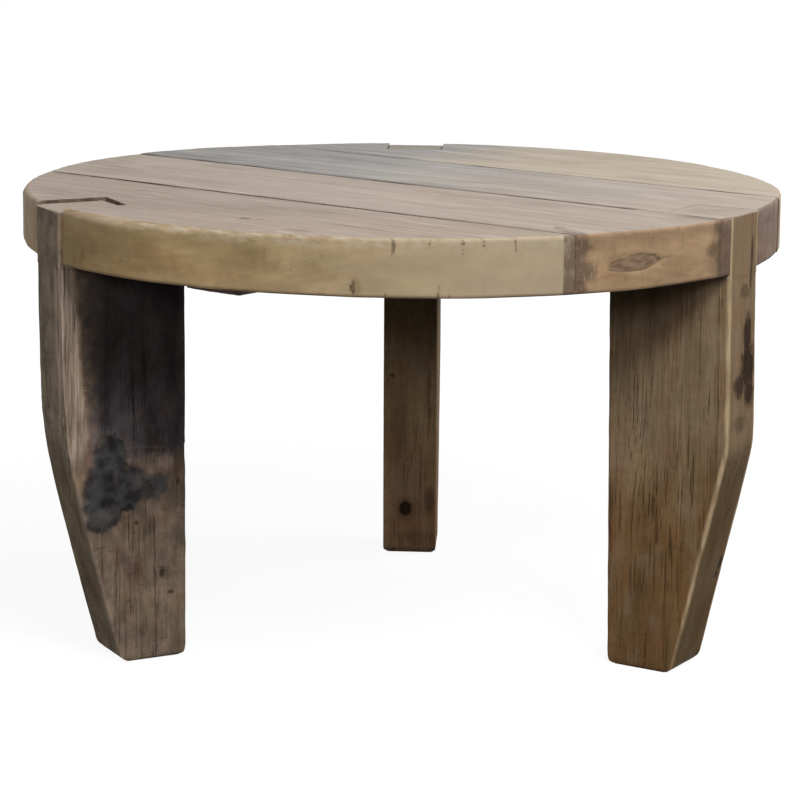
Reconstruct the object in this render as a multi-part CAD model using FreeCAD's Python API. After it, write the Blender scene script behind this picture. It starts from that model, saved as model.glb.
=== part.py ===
"""A low round table with three slab legs, made of reclaimed hardwood.

Four planks make a thick round top. Each leg is a slab set on edge that points at the centre. The
outer part of its head runs up through an open notch in the rim, and the rest is a shoulder that
the top sits on. A batten is screwed across the planks from below. Dowels join plank to plank
and leg to plank.

Millimetres and degrees. +Z is up, and the origin is on the floor under the centre of the top.
A plank is described by two directions: along it, and square to it, which is called across.
"""
import FreeCAD, Part
import math
import os

# The whole table
table_height = 475.0
top_diameter = 800.0

# The planks of the top
plank_thickness = 58.0
plank_angle = -39.5             # the way the planks run, turned from +X
front_joint_share = -0.445      # where the outer two joints lie across, of the top's radius
back_joint_share = 0.46
strip_beside_notch = 7.5        # wood between the middle joint and the right leg's notch
plank_joint_gap = 0.4
joint_edge_bevel = 1.5
rim_top_round = 5.0
rim_bottom_bevel = 2.0

# The legs
leg_thickness = 64.0
leg_width = 136.0               # from the inner edge to the outer edge, along the leg's radius
foot_width = 76.0
knee_height = 238.0             # the outer edge is upright above this and slopes in below it
tenon_length = 70.0             # the part of the head that stands in the notch
arris_round = 5.0
foot_corner_round = 12.0
back_leg_angle = 87.5           # the way each leg points from the centre, turned from +X
left_leg_angle = 208.5
right_leg_angle = 328.5
soft_knee_radius = 600.0        # the left leg's outer edge bends gently
firm_knee_radius = 120.0
left_leg_proud = 5.0            # how far the outer edge stands out of the rim
left_tenon_drop = 4.5           # how far the end grain lies below the table's surface
back_tenon_drop = 3.0
flush_drop = 0.3

# The notches in the rim
notch_side_clearance = 0.3
notch_end_gap = 2.0

# The batten under the planks
batten_thickness = 24.0
batten_width = 78.0
batten_end_radius = 297.0       # its ends follow a circle round the table's centre
batten_edge_bevel = 3.0

# The screws that hold the batten
screw_length = 50.0
screw_shank_diameter = 5.0
screw_head_diameter = 10.0
screw_head_height = 3.0
screw_point_length = 6.0
screw_slot_width = 1.4
screw_slot_depth = 1.2
screw_clearance = 0.1
screw_row_share = 0.5           # of half the batten's width, either side of its middle

# The dowels from plank to plank, and from leg to plank
edge_dowel_diameter = 12.0
edge_dowel_length = 90.0
edge_dowel_shares = (-0.72, -0.05, 0.27, 0.5)     # of half the joint's length
leg_dowel_diameter = 12.0
leg_dowel_length = 56.0
leg_dowel_shares = (0.28, 0.72)                   # of the shoulder's length, from the inner edge
dowel_clearance = 0.1
dowel_end_gap = 0.5
dowel_end_bevel = 1.5

# How far a cutting shape runs past what it cuts
overrun = 20.0

top_radius = top_diameter / 2
underside = table_height - plank_thickness
leg_inner_radius = top_radius - leg_width
tenon_inner_radius = top_radius - tenon_length
# A flush leg's outer edge meets the rim where its rounded arrises begin
flush_outer_radius = math.sqrt(top_radius ** 2 - (leg_thickness / 2 - arris_round) ** 2)
batten_bottom = underside - batten_thickness

# Where the joints lie, across. The middle one just clears the inner corner of the right leg's notch
notch_inner_radius = tenon_inner_radius - notch_end_gap
notch_half_width = leg_thickness / 2 + notch_side_clearance
leg_to_plank = math.radians(right_leg_angle - plank_angle)
corner_across = notch_inner_radius * math.sin(leg_to_plank) - notch_half_width * math.cos(leg_to_plank)
front_joint_across = front_joint_share * top_radius
middle_joint_across = corner_across - strip_beside_notch
back_joint_across = back_joint_share * top_radius

UP = FreeCAD.Vector(0, 0, 1)
ORIGIN = FreeCAD.Vector(0, 0, 0)

# Each leg: its angle, the radius of its knee, how far it stands proud, its tenon's drop
LEGS = {
    "left": (left_leg_angle, soft_knee_radius, left_leg_proud, left_tenon_drop),
    "right": (right_leg_angle, firm_knee_radius, 0, flush_drop),
    "back": (back_leg_angle, firm_knee_radius, 0, back_tenon_drop),
}

# Each plank: where it starts and ends, across
PLANKS = {
    "front": (-top_radius, front_joint_across),
    "mid_front": (front_joint_across, middle_joint_across),
    "mid_back": (middle_joint_across, back_joint_across),
    "back": (back_joint_across, top_radius),
}

JOINTS = {
    "front": front_joint_across,
    "middle": middle_joint_across,
    "back": back_joint_across,
}


def turned(shape, degrees):
    """The shape turned about the table's axis."""
    shape = shape.copy()
    shape.rotate(ORIGIN, UP, degrees)
    return shape


def block(x0, x1, y0, y1, z0, z1):
    """A box between two corners."""
    return Part.makeBox(x1 - x0, y1 - y0, z1 - z0, FreeCAD.Vector(x0, y0, z0))


def rounded_outline(corners):
    """A closed wire through (x, z, radius) corners, each rounded by an arc of its radius."""
    points = [FreeCAD.Vector(x, 0, z) for x, z, _ in corners]
    ahead_points = points[1:] + points[:1]
    edges, starts, ends = [], [], []
    for here, behind, ahead, (_, _, radius) in zip(points, points[-1:] + points, ahead_points, corners):
        to_behind = (behind - here).normalize()
        to_ahead = (ahead - here).normalize()
        half_angle = to_behind.getAngle(to_ahead) / 2
        reach = radius / math.tan(half_angle)
        starts.append(here + to_behind * reach)
        ends.append(here + to_ahead * reach)
        if radius:
            to_middle = radius / math.sin(half_angle) - radius
            middle = here + (to_behind + to_ahead).normalize() * to_middle
            edges.append(Part.Arc(starts[-1], middle, ends[-1]).toShape())
    for end, next_start in zip(ends, starts[1:] + starts[:1]):
        edges.append(Part.makeLine(end, next_start))
    return Part.Wire(Part.__sortEdges__(edges))


def dowel(diameter, length):
    """A dowel along Z from -length / 2 to length / 2, with bevelled ends."""
    pin = Part.makeCylinder(diameter / 2, length, FreeCAD.Vector(0, 0, -length / 2))
    rims = [e for e in pin.Edges if isinstance(e.Curve, Part.Circle)]
    return pin.makeChamfer(dowel_end_bevel, rims)


def dowel_hole(diameter, length):
    """The hole for such a dowel, a little wider and longer."""
    depth = length + 2 * dowel_end_gap
    return Part.makeCylinder(diameter / 2 + dowel_clearance, depth, FreeCAD.Vector(0, 0, -depth / 2))


def place_edge_dowels(make):
    """What make builds, at every edge dowel's place, as a dictionary from joint to list."""
    placed = {}
    for name, across in JOINTS.items():
        half_length = math.sqrt(top_radius ** 2 - across ** 2)
        placed[name] = []
        for share in edge_dowel_shares:
            piece = make(edge_dowel_diameter, edge_dowel_length)
            piece.rotate(ORIGIN, FreeCAD.Vector(1, 0, 0), 90)
            piece.translate(FreeCAD.Vector(share * half_length, across, underside + plank_thickness / 2))
            placed[name].append(turned(piece, plank_angle))
    return placed


def place_leg_dowels(make):
    """What make builds, at every leg dowel's place, as a dictionary from leg to list."""
    placed = {}
    shoulder_length = tenon_inner_radius - leg_inner_radius
    for name, (angle, _, _, _) in LEGS.items():
        placed[name] = []
        for share in leg_dowel_shares:
            piece = make(leg_dowel_diameter, leg_dowel_length)
            piece.translate(FreeCAD.Vector(leg_inner_radius + share * shoulder_length, 0, underside))
            placed[name].append(turned(piece, angle))
    return placed


def screw():
    """A countersunk wood screw that points up, with its head's face at Z = 0."""
    shank = screw_shank_diameter / 2
    profile = [
        FreeCAD.Vector(0, 0, 0),
        FreeCAD.Vector(screw_head_diameter / 2, 0, 0),
        FreeCAD.Vector(shank, 0, screw_head_height),
        FreeCAD.Vector(shank, 0, screw_length - screw_point_length),
        FreeCAD.Vector(0, 0, screw_length),
        FreeCAD.Vector(0, 0, 0),
    ]
    body = Part.Face(Part.makePolygon(profile)).revolve(ORIGIN, UP, 360)
    reach = screw_head_diameter
    slot = block(-reach, reach, -screw_slot_width / 2, screw_slot_width / 2, -overrun, screw_slot_depth)
    return body.cut(slot)


def screw_hole():
    """The room for such a screw: countersink and pilot hole."""
    shank = screw_shank_diameter / 2 + screw_clearance
    head = screw_head_diameter / 2 + screw_clearance
    cone = Part.makeCone(head, shank, screw_head_height)
    entry = Part.makeCylinder(head, overrun, FreeCAD.Vector(0, 0, -overrun))
    pilot = Part.makeCylinder(shank, screw_length + screw_clearance)
    return cone.fuse([entry, pilot])


def place_screws(make):
    """What make builds, two for each plank, where the batten crosses it."""
    placed = []
    for low, high in PLANKS.values():
        across = (max(low, -batten_end_radius) + min(high, batten_end_radius)) / 2
        for side in (-1, 1):
            piece = make()
            along = side * screw_row_share * batten_width / 2
            piece.translate(FreeCAD.Vector(along, across, batten_bottom))
            placed.append(turned(piece, plank_angle))
    return placed


def notch(angle):
    """The open notch in the rim for one leg's tenon, right through the top."""
    half, outer = notch_half_width, top_radius + overrun
    cut = block(notch_inner_radius, outer, -half, half, underside - overrun, table_height + overrun)
    return turned(cut, angle)


def round_blank():
    """The top as one disc, with its worn rim."""
    disc = Part.makeCylinder(top_radius, plank_thickness, FreeCAD.Vector(0, 0, underside))
    rims = [e for e in disc.Edges if isinstance(e.Curve, Part.Circle)]
    top = [e for e in rims if e.Curve.Center.z > underside + plank_thickness / 2]
    bottom = [e for e in rims if e.Curve.Center.z < underside + plank_thickness / 2]
    return disc.makeFillet(rim_top_round, top).makeChamfer(rim_bottom_bevel, bottom)


def plank(low, high, blank, cutters):
    """One plank: a long strip with bevelled joint edges, cut round as the blank is."""
    low = low + plank_joint_gap / 2 if low > -top_radius else low - overrun
    high = high - plank_joint_gap / 2 if high < top_radius else high + overrun
    start = -top_radius - overrun
    shoulder = table_height - joint_edge_bevel
    section = [
        FreeCAD.Vector(start, low, underside),
        FreeCAD.Vector(start, high, underside),
        FreeCAD.Vector(start, high, shoulder),
        FreeCAD.Vector(start, high - joint_edge_bevel, table_height),
        FreeCAD.Vector(start, low + joint_edge_bevel, table_height),
        FreeCAD.Vector(start, low, shoulder),
        FreeCAD.Vector(start, low, underside),
    ]
    strip = Part.Face(Part.makePolygon(section)).extrude(FreeCAD.Vector(-2 * start, 0, 0))
    return turned(strip, plank_angle).common(blank).cut(cutters)


def leg(angle, knee_radius, proud, drop, cutters):
    """One leg, drawn in the plane of its radius, given its thickness and eased along its arrises."""
    outer = flush_outer_radius + proud
    head = table_height - drop
    outline = rounded_outline([
        (leg_inner_radius, 0, foot_corner_round),
        (leg_inner_radius + foot_width, 0, foot_corner_round),
        (outer, knee_height, knee_radius),
        (outer, head, 0),
        (tenon_inner_radius, head, 0),
        (tenon_inner_radius, underside, 0),
        (leg_inner_radius, underside, 0),
    ])
    outline.translate(FreeCAD.Vector(0, -leg_thickness / 2, 0))
    slab = Part.Face(outline).extrude(FreeCAD.Vector(0, leg_thickness, 0))
    slab = slab.makeFillet(arris_round, leg_arrises(slab))
    return turned(slab, angle).cut(cutters)


def leg_arrises(slab):
    """The edges round a leg's two broad faces, without those of its head, which stay sharp."""
    inside_face = (leg_thickness - arris_round) / 2
    below_head = underside - arris_round
    broad = [e for e in slab.Edges if abs(e.BoundBox.Center.y) > inside_face]
    return [e for e in broad if e.BoundBox.ZMin < below_head]


def batten(cutters):
    """The batten across the planks, with ends cut round and its lower edges bevelled."""
    half = batten_width / 2
    reach = batten_end_radius + overrun
    lower = batten_bottom + batten_edge_bevel
    section = [
        FreeCAD.Vector(-half, -reach, underside),
        FreeCAD.Vector(-half, -reach, lower),
        FreeCAD.Vector(-half + batten_edge_bevel, -reach, batten_bottom),
        FreeCAD.Vector(half - batten_edge_bevel, -reach, batten_bottom),
        FreeCAD.Vector(half, -reach, lower),
        FreeCAD.Vector(half, -reach, underside),
        FreeCAD.Vector(-half, -reach, underside),
    ]
    bar = Part.Face(Part.makePolygon(section)).extrude(FreeCAD.Vector(0, 2 * reach, 0))
    base = FreeCAD.Vector(0, 0, batten_bottom)
    drum = Part.makeCylinder(batten_end_radius, batten_thickness, base)
    lower_rim = [e for e in drum.Edges if isinstance(e.Curve, Part.Circle) and e.Curve.Center.z < lower]
    drum = drum.makeChamfer(batten_edge_bevel, lower_rim)
    return turned(bar.common(drum), plank_angle).cut(cutters)


def build():
    """Every node of the table, by name."""
    edge_holes = [hole for holes in place_edge_dowels(dowel_hole).values() for hole in holes]
    leg_holes = place_leg_dowels(dowel_hole)
    all_leg_holes = [hole for holes in leg_holes.values() for hole in holes]
    screw_holes = place_screws(screw_hole)
    notches = [notch(angle) for angle, _, _, _ in LEGS.values()]
    blank = round_blank()
    plank_cutters = notches + edge_holes + all_leg_holes + screw_holes
    nodes = {}
    for name, (low, high) in PLANKS.items():
        nodes["top_plank_" + name] = plank(low, high, blank, plank_cutters)
    for name, values in LEGS.items():
        nodes["leg_" + name] = leg(*values, leg_holes[name])
    nodes["cross_batten"] = batten(screw_holes)
    nodes["batten_screws"] = Part.makeCompound(place_screws(screw))
    for name, dowels in place_edge_dowels(dowel).items():
        nodes["edge_dowels_" + name] = Part.makeCompound(dowels)
    for name, dowels in place_leg_dowels(dowel).items():
        nodes["leg_dowels_" + name] = Part.makeCompound(dowels)
    return nodes


os.makedirs("parts", exist_ok=True)
for node, shape in build().items():
    box = shape.optimalBoundingBox(False)
    print(f"{node}: {len(shape.Solids)} solid(s), valid {shape.isValid()}, {shape.Volume:.0f} mm3, "
          f"X {box.XMin:.1f} to {box.XMax:.1f}, Y {box.YMin:.1f} to {box.YMax:.1f}, "
          f"Z {box.ZMin:.1f} to {box.ZMax:.1f}")
    shape.exportStep(f"parts/{node}.step")
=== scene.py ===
# %% [markdown]
# # A low round table of old planks
# The real table is four thick planks of reclaimed hardwood, cut round together, on three slab legs that
# stand in open notches in the rim. The construction model holds the sizes and the joints. This lesson
# gives the same pieces their worn shapes and their wood. The construction model is loaded first,
# because every piece here is placed by it and stays inside its box.

# %% Load the construction model
import math
import random
from collections import namedtuple

import bmesh
import bpy
from mathutils import Matrix, Vector, noise


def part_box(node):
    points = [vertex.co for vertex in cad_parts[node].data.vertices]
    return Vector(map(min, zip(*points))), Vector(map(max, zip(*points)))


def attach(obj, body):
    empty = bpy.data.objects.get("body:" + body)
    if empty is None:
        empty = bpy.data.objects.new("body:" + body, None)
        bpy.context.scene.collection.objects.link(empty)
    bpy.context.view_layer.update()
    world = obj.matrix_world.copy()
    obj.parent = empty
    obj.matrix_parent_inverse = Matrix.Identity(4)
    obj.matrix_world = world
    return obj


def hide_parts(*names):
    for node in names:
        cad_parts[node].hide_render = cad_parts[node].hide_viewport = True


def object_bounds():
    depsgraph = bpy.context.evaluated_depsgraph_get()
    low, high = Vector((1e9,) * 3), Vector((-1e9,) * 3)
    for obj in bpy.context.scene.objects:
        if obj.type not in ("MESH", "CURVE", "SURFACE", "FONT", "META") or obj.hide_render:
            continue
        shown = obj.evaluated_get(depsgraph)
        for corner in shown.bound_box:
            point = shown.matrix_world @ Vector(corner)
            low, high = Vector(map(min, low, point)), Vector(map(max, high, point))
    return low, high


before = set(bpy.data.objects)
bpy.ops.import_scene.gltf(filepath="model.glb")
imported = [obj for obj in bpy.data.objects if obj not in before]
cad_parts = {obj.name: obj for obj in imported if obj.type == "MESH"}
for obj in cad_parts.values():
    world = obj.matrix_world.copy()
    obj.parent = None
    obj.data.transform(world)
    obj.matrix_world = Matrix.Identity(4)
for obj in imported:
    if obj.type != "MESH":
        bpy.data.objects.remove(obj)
cad_low, cad_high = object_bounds()
print("construction model:", [round(v, 4) for v in cad_low], "to", [round(v, 4) for v in cad_high])

# %% [markdown]
# ## Sizes that the pieces share
# Everything is in metres. What the construction model can tell is read from it, and the rest repeats
# its values: the angle of the planks, the lines where they meet, and the shape of a leg.

# %% Sizes of the top
TOP = cad_high.z
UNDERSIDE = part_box("top_plank_front")[0].z
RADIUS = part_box("top_plank_back")[1].x
PLANK_ANGLE = math.radians(-39.5)
FRONT_JOINT = -0.178
MIDDLE_JOINT = 0.006
BACK_JOINT = 0.184
print(f"top {TOP:.3f}, underside {UNDERSIDE:.3f}, radius {RADIUS:.3f}")

# %% Sizes of the legs
LEG_ANGLES = {"left": math.radians(208.5), "right": math.radians(328.5), "back": math.radians(87.5)}
LEG_HALF = 0.032
LEG_INNER = 0.264
LEG_OUTER = 0.3991
TENON_INNER = 0.330
FOOT_WIDTH = 0.076
KNEE_HEIGHT = 0.238
FOOT_CORNER = 0.012
PROUD = {"left": 0.005, "right": 0.0, "back": 0.0}
DROP = {"left": 0.0045, "right": 0.0006, "back": 0.003}
for leg, leg_angle in LEG_ANGLES.items():
    print(f"{leg} leg at {math.degrees(leg_angle):.1f} degrees")

# %% [markdown]
# ## The camera
# The photographed view is a long lens from a little above the table. The camera was fitted to both
# ellipses of the rim, the legs' upright edges and the feet. It comes early, so that every piece can be
# looked at from there as it is made.

# %% Place the camera
FOCAL_LENGTH = 125.11
CAMERA_PLACE = Vector((0.0, -2.93445, 0.84179))
CAMERA_YAW = math.radians(-1.009)
CAMERA_PITCH = math.radians(9.622)
CAMERA_ROLL = math.radians(0.454)

camera = bpy.data.objects.new("camera", bpy.data.cameras.new("camera"))
bpy.context.scene.collection.objects.link(camera)
camera.data.lens = FOCAL_LENGTH
camera.data.shift_x = 0.06
camera.data.shift_y = -0.12
camera.rotation_mode = "QUATERNION"
heading = Matrix.Rotation(-CAMERA_YAW, 4, "Z")
tilt = Matrix.Rotation(math.pi / 2 - CAMERA_PITCH, 4, "X")
camera.matrix_world = Matrix.Translation(CAMERA_PLACE) @ heading @ tilt @ Matrix.Rotation(CAMERA_ROLL, 4, "Z")
bpy.context.scene.camera = camera
print(f"camera {CAMERA_PLACE.length:.2f} m away with a {FOCAL_LENGTH:.0f} mm lens")

# %% [markdown]
# ## Helpers for worn shapes
# Old wood has no sharp corners and no flat faces. A sharp-cornered mesh with many rows is easy to make
# with operators, so each piece starts as that. Its corners are then eased: a point near a corner moves
# onto an arc. Smooth noise, stretched along the grain, then wears the faces inwards.

# %% Round a corner
def rounded(distances, reaches):
    """A point's distances from the faces that meet in a corner, once the corner is rounded."""
    shares = [max(1 - distance / reach, 0.0) for distance, reach in zip(distances, reaches)]
    longest = max(shares)
    if longest <= 0:
        return list(distances)
    shrink = longest / math.sqrt(sum(share * share for share in shares))
    return [reach * (1 - share * shrink) if share > 0 else distance
            for distance, reach, share in zip(distances, reaches, shares)]


print("2 mm from both faces, worn by 5 mm:", rounded((0.002, 0.002), (0.005, 0.005)))

# %% Smooth noise and smooth steps
def wobble(x, y, z, seed=0.0):
    """Smooth noise from -1 to 1."""
    return noise.noise(Vector((x + seed * 7.31, y - seed * 3.17, z + seed * 1.93)))


def step(low, high, value):
    """Rises smoothly from 0 at low to 1 at high."""
    share = min(max((value - low) / (high - low), 0.0), 1.0)
    return share * share * (3 - 2 * share)


def bump(value, centre, half_width):
    """A smooth hill, 1 at its centre and 0 at half_width from it."""
    return 1 - step(0.0, half_width, abs(value - centre))


print(f"at 0.3 the step is {step(0, 1, 0.3):.3f} and the noise {wobble(0.3, 0, 0):.3f}")

# %% [markdown]
# ## Turning a mesh into a piece
# Notches and drying cracks are cut with the Boolean modifier. Its cutter brings its own material along,
# so the walls of a crack are dark, as they are in old wood. The result is taken from the evaluated
# object, which leaves a plain mesh with no modifiers.

# %% Make, cut and finish pieces
SHARP_DEGREES = 42.0


def new_object(name, bm, materials):
    """A linked object from a bmesh, with its materials."""
    mesh = bpy.data.meshes.new(name)
    bm.to_mesh(mesh)
    bm.free()
    for material in materials:
        mesh.materials.append(material)
    obj = bpy.data.objects.new(name, mesh)
    bpy.context.scene.collection.objects.link(obj)
    return obj


def cut(piece, cutter):
    """Takes the cutter's shape out of the piece, and deletes the cutter."""
    boolean = piece.modifiers.new("cut", "BOOLEAN")
    boolean.operation = "DIFFERENCE"
    boolean.solver = "MANIFOLD"
    boolean.material_mode = "TRANSFER"
    boolean.object = cutter
    depsgraph = bpy.context.evaluated_depsgraph_get()
    shaped = bpy.data.meshes.new_from_object(piece.evaluated_get(depsgraph))
    piece.modifiers.clear()
    blank = piece.data
    piece.data = shaped
    shaped.name = piece.name
    bpy.data.meshes.remove(blank)
    bpy.data.meshes.remove(cutter.data)


print("edges over", SHARP_DEGREES, "degrees stay sharp")

# %% Store a number and settle a piece
def paint(piece, name, value_at):
    """Stores a number on every vertex, worked out from where it is."""
    layer = piece.data.attributes.new(name, "FLOAT", "POINT")
    layer.data.foreach_set("value", [value_at(*vertex.co) for vertex in piece.data.vertices])


def settle(piece, angle, node_name):
    """Turns the finished mesh to its place, shades it, and hands it to the construction model's body."""
    piece.data.transform(Matrix.Rotation(angle, 4, "Z"))
    piece.data.polygons.foreach_set("use_smooth", [True] * len(piece.data.polygons))
    piece.data.set_sharp_from_angle(angle=math.radians(SHARP_DEGREES))
    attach(piece, "root")
    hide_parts(node_name)
    triangles = sum(len(face.vertices) - 2 for face in piece.data.polygons)
    print(f"{piece.name}: {triangles} triangles")


print("pieces can be painted and settled")

# %% [markdown]
# ## Drying cracks
# A crack follows the grain, opens in the middle and closes at both ends, so its cutter is a long thin
# sphere. Its poles lie at the crack's ends, and noise bends it a little. Each crack has its own
# sphere, and all the cracks of a piece are cut at once.

# %% Add one crack's cutter
CRACK_RINGS = 22
CRACK_SIDES = 8
CRACK_BEND = 0.0012


def add_crack(bm, start, end, inward, width, depth):
    """A thin bent spindle from start to end. Inward points into the wood."""
    start, end = Vector(start), Vector(end)
    along = (end - start).normalized()
    sideways = along.cross(Vector(inward)).normalized()
    deep = sideways.cross(along)
    middle = (start + end) / 2
    made = bmesh.ops.create_uvsphere(bm, u_segments=CRACK_SIDES, v_segments=CRACK_RINGS, radius=1.0)
    length = (end - start).length
    for vertex in made["verts"]:
        x, y, z = vertex.co
        place = middle + along * z * length / 2
        bend = CRACK_BEND * wobble(place.x * 30, place.y * 30, place.z * 30, width * 1000)
        vertex.co = place + sideways * (x * width / 2 + bend * (1 - z * z)) + deep * y * depth


print("a crack has", CRACK_RINGS, "rings of", CRACK_SIDES, "points")

# %% [markdown]
# ## Building materials from nodes
# Every material is made of nodes, so that it has detail at any distance. A Value is one node's result.
# Values can be added and multiplied like numbers, and each helper takes values and gives back a new
# one, so a recipe for wood reads like a formula.

# %% A node's result as a value
class Value:
    """A node's result. Sums, differences and products of values are Math nodes."""

    def __init__(self, tree, socket):
        self.tree, self.socket = tree, socket

    def __add__(self, other):
        return calc("ADD", self, other)

    def __sub__(self, other):
        return calc("SUBTRACT", self, other)

    def __rsub__(self, other):
        return calc("SUBTRACT", other, self)

    def __mul__(self, other):
        return calc("MULTIPLY", self, other)

    def __abs__(self):
        return calc("ABSOLUTE", self)


def plug(socket, value):
    """Links a value to a socket, or sets the socket to a plain number or colour."""
    if isinstance(value, Value):
        value.tree.links.new(value.socket, socket)
    else:
        socket.default_value = value


def fill(inputs, values):
    """Plugs a dictionary of values into a node's inputs, by name or number."""
    for name, value in values.items():
        plug(inputs[name], value)


def new_node(kind, *values):
    """A node in the tree that the values belong to."""
    tree = next(value.tree for value in values if isinstance(value, Value))
    return tree, tree.nodes.new(kind)


print("values can be added and multiplied")

# %% Node helpers for numbers
def calc(operation, *values):
    """One Math node."""
    tree, made = new_node("ShaderNodeMath", *values)
    made.operation = operation
    fill(made.inputs, dict(enumerate(values)))
    return Value(tree, made.outputs[0])


def larger(first, second):
    """The larger of two values."""
    return calc("MAXIMUM", first, second)


def spread(value, low, high, to_low=0.0, to_high=1.0):
    """A smooth step between two values."""
    tree, made = new_node("ShaderNodeMapRange", value)
    made.interpolation_type = "SMOOTHSTEP"
    fill(made.inputs, dict(enumerate((value, low, high, to_low, to_high))))
    return Value(tree, made.outputs[0])


print("a smooth step maps one range onto another")

# %% Node helpers for colours
def colour(text):
    """A colour from the six-digit form that picture editors use, as the linear values that a node takes."""
    values = [int(text[i:i + 2], 16) / 255 for i in (0, 2, 4)]
    return tuple(((v + 0.055) / 1.055) ** 2.4 if v > 0.04045 else v / 12.92 for v in values) + (1.0,)


def blend(amount, first, second, kind="MIX"):
    """Mixes two colours. A colour is a value or the six digits of one."""
    first, second = (colour(item) if isinstance(item, str) else item for item in (first, second))
    tree, made = new_node("ShaderNodeMix", amount, first, second)
    made.data_type = "RGBA"
    made.blend_type = kind
    fill(made.inputs, {0: amount, 6: first, 7: second})
    return Value(tree, made.outputs[2])


def tinted(base, amount):
    """A colour made lighter or darker by a number round 1."""
    return blend(1.0, base, joined(amount, amount, amount), "MULTIPLY")


print("middle grey in linear light:", round(colour("808080")[0], 3))

# %% Places on a mesh
def object_place(tree):
    """Where a point is on the object."""
    return Value(tree, tree.nodes.new("ShaderNodeTexCoord").outputs["Object"])


def attribute(tree, name):
    """A number that was stored on the mesh."""
    made = tree.nodes.new("ShaderNodeAttribute")
    made.attribute_name = name
    return Value(tree, made.outputs["Fac"])


def placed(vector, scale=(1, 1, 1), shift=(0, 0, 0), turn=(0, 0, 0)):
    """Shifts, turns and stretches a pattern's coordinates."""
    tree, made = new_node("ShaderNodeMapping", vector)
    fill(made.inputs, {"Vector": vector, "Scale": scale, "Location": shift, "Rotation": turn})
    return Value(tree, made.outputs[0])


print("places come from the object or from a stored number")

# %% Patterns and bumps
def mottle(vector, scale=(1, 1, 1), shift=(0, 0, 0), detail=2.0, roughness=0.5):
    """Noise from 0 to 1 on stretched coordinates."""
    tree, made = new_node("ShaderNodeTexNoise", vector)
    fill(made.inputs, {"Vector": placed(vector, scale, shift), "Scale": 1.0, "Detail": detail,
                       "Roughness": roughness})
    return Value(tree, made.outputs[0])


def axes(vector):
    """The three parts of a vector."""
    tree, made = new_node("ShaderNodeSeparateXYZ", vector)
    plug(made.inputs[0], vector)
    return [Value(tree, socket) for socket in made.outputs]


def joined(x, y, z):
    """A vector from three numbers."""
    tree, made = new_node("ShaderNodeCombineXYZ", x, y, z)
    fill(made.inputs, {"X": x, "Y": y, "Z": z})
    return Value(tree, made.outputs[0])


def raised(height, distance):
    """A bump from a height between 0 and 1."""
    tree, made = new_node("ShaderNodeBump", height)
    fill(made.inputs, {"Strength": 1.0, "Distance": distance, "Height": height})
    return Value(tree, made.outputs[0])


print("noise is stretched along the grain by its scale")

# %% Marks and materials
RAGGED = 1.3
MARK_CORE, MARK_END = 0.40, 1.15
MARK_DEPTH, THIN_MARK_DEPTH = 0.05, 0.03


def away_from(vector, centre, radii, uneven=None):
    """How far out a point is from a mark's middle: 0 at the middle and 1 on its edge."""
    shift = [-value / radius for value, radius in zip(centre, radii)]
    tree, made = new_node("ShaderNodeVectorMath", vector)
    made.operation = "LENGTH"
    plug(made.inputs[0], placed(vector, [1 / radius for radius in radii], shift))
    away = Value(tree, made.outputs["Value"])
    return away if uneven is None else away + (uneven - 0.5) * RAGGED


Mark = namedtuple("Mark", "place radii strength")


def marks_at(radius, depth, *rows):
    """Marks on an upright face, from rows of place across, height, half width, half height and strength."""
    return [Mark((radius, across, height), (depth, half_width, half_height), strength)
            for across, height, half_width, half_height, strength in rows]


def marks(vector, items, uneven):
    """Soft ragged marks together, from 0 to the strength of the strongest."""
    total = 0.0
    for item in items:
        away = away_from(vector, item.place, item.radii, uneven)
        total = larger(total, spread(away, MARK_CORE, MARK_END, item.strength, 0.0))
    return total


print("a mark fades out from", MARK_CORE, "to", MARK_END, "of its size")

# %% A material and its shader
def new_material(name):
    """An empty node material, with its tree."""
    material = bpy.data.materials.new(name)
    material.use_nodes = True
    return material, material.node_tree


def finish(tree, base, rough, normal, shine=0.5):
    """Sets the shader's colour, roughness, bump and specular level."""
    inputs = tree.nodes["Principled BSDF"].inputs
    fill(inputs, {"Base Color": base, "Roughness": rough, "Normal": normal, "Specular IOR Level": shine})
    return inputs


print("helpers ready")

# %% [markdown]
# ## What wood is made of
# Sawn wood shows its growth rings as lines along the grain on its faces and as arcs on its ends. Both
# come from one field: the distance to the line where the tree's middle was. Fine fibres, streaks and
# pores are noise stretched along the grain. Because the field is solid, the lines on the top meet the
# arcs on the rim, as they do in a real plank.

# %% Grain coordinates
OBJECT_X_IS_GRAIN = "planks"
OBJECT_Z_IS_GRAIN = "legs"


def grain_space(tree, turn, runs):
    """Coordinates with X along the grain, whichever way the piece stands."""
    level = placed(object_place(tree), turn=(0, 0, -turn))
    if runs == OBJECT_X_IS_GRAIN:
        return level, level
    x, y, z = axes(level)
    return joined(z, x, y), level


print("two ways of the grain:", OBJECT_X_IS_GRAIN, "along X,", OBJECT_Z_IS_GRAIN, "along Z")

# %% The grain's own patterns
Grain = namedtuple("Grain", "rings streaks fibres pores blotches checks cracks")


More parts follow.
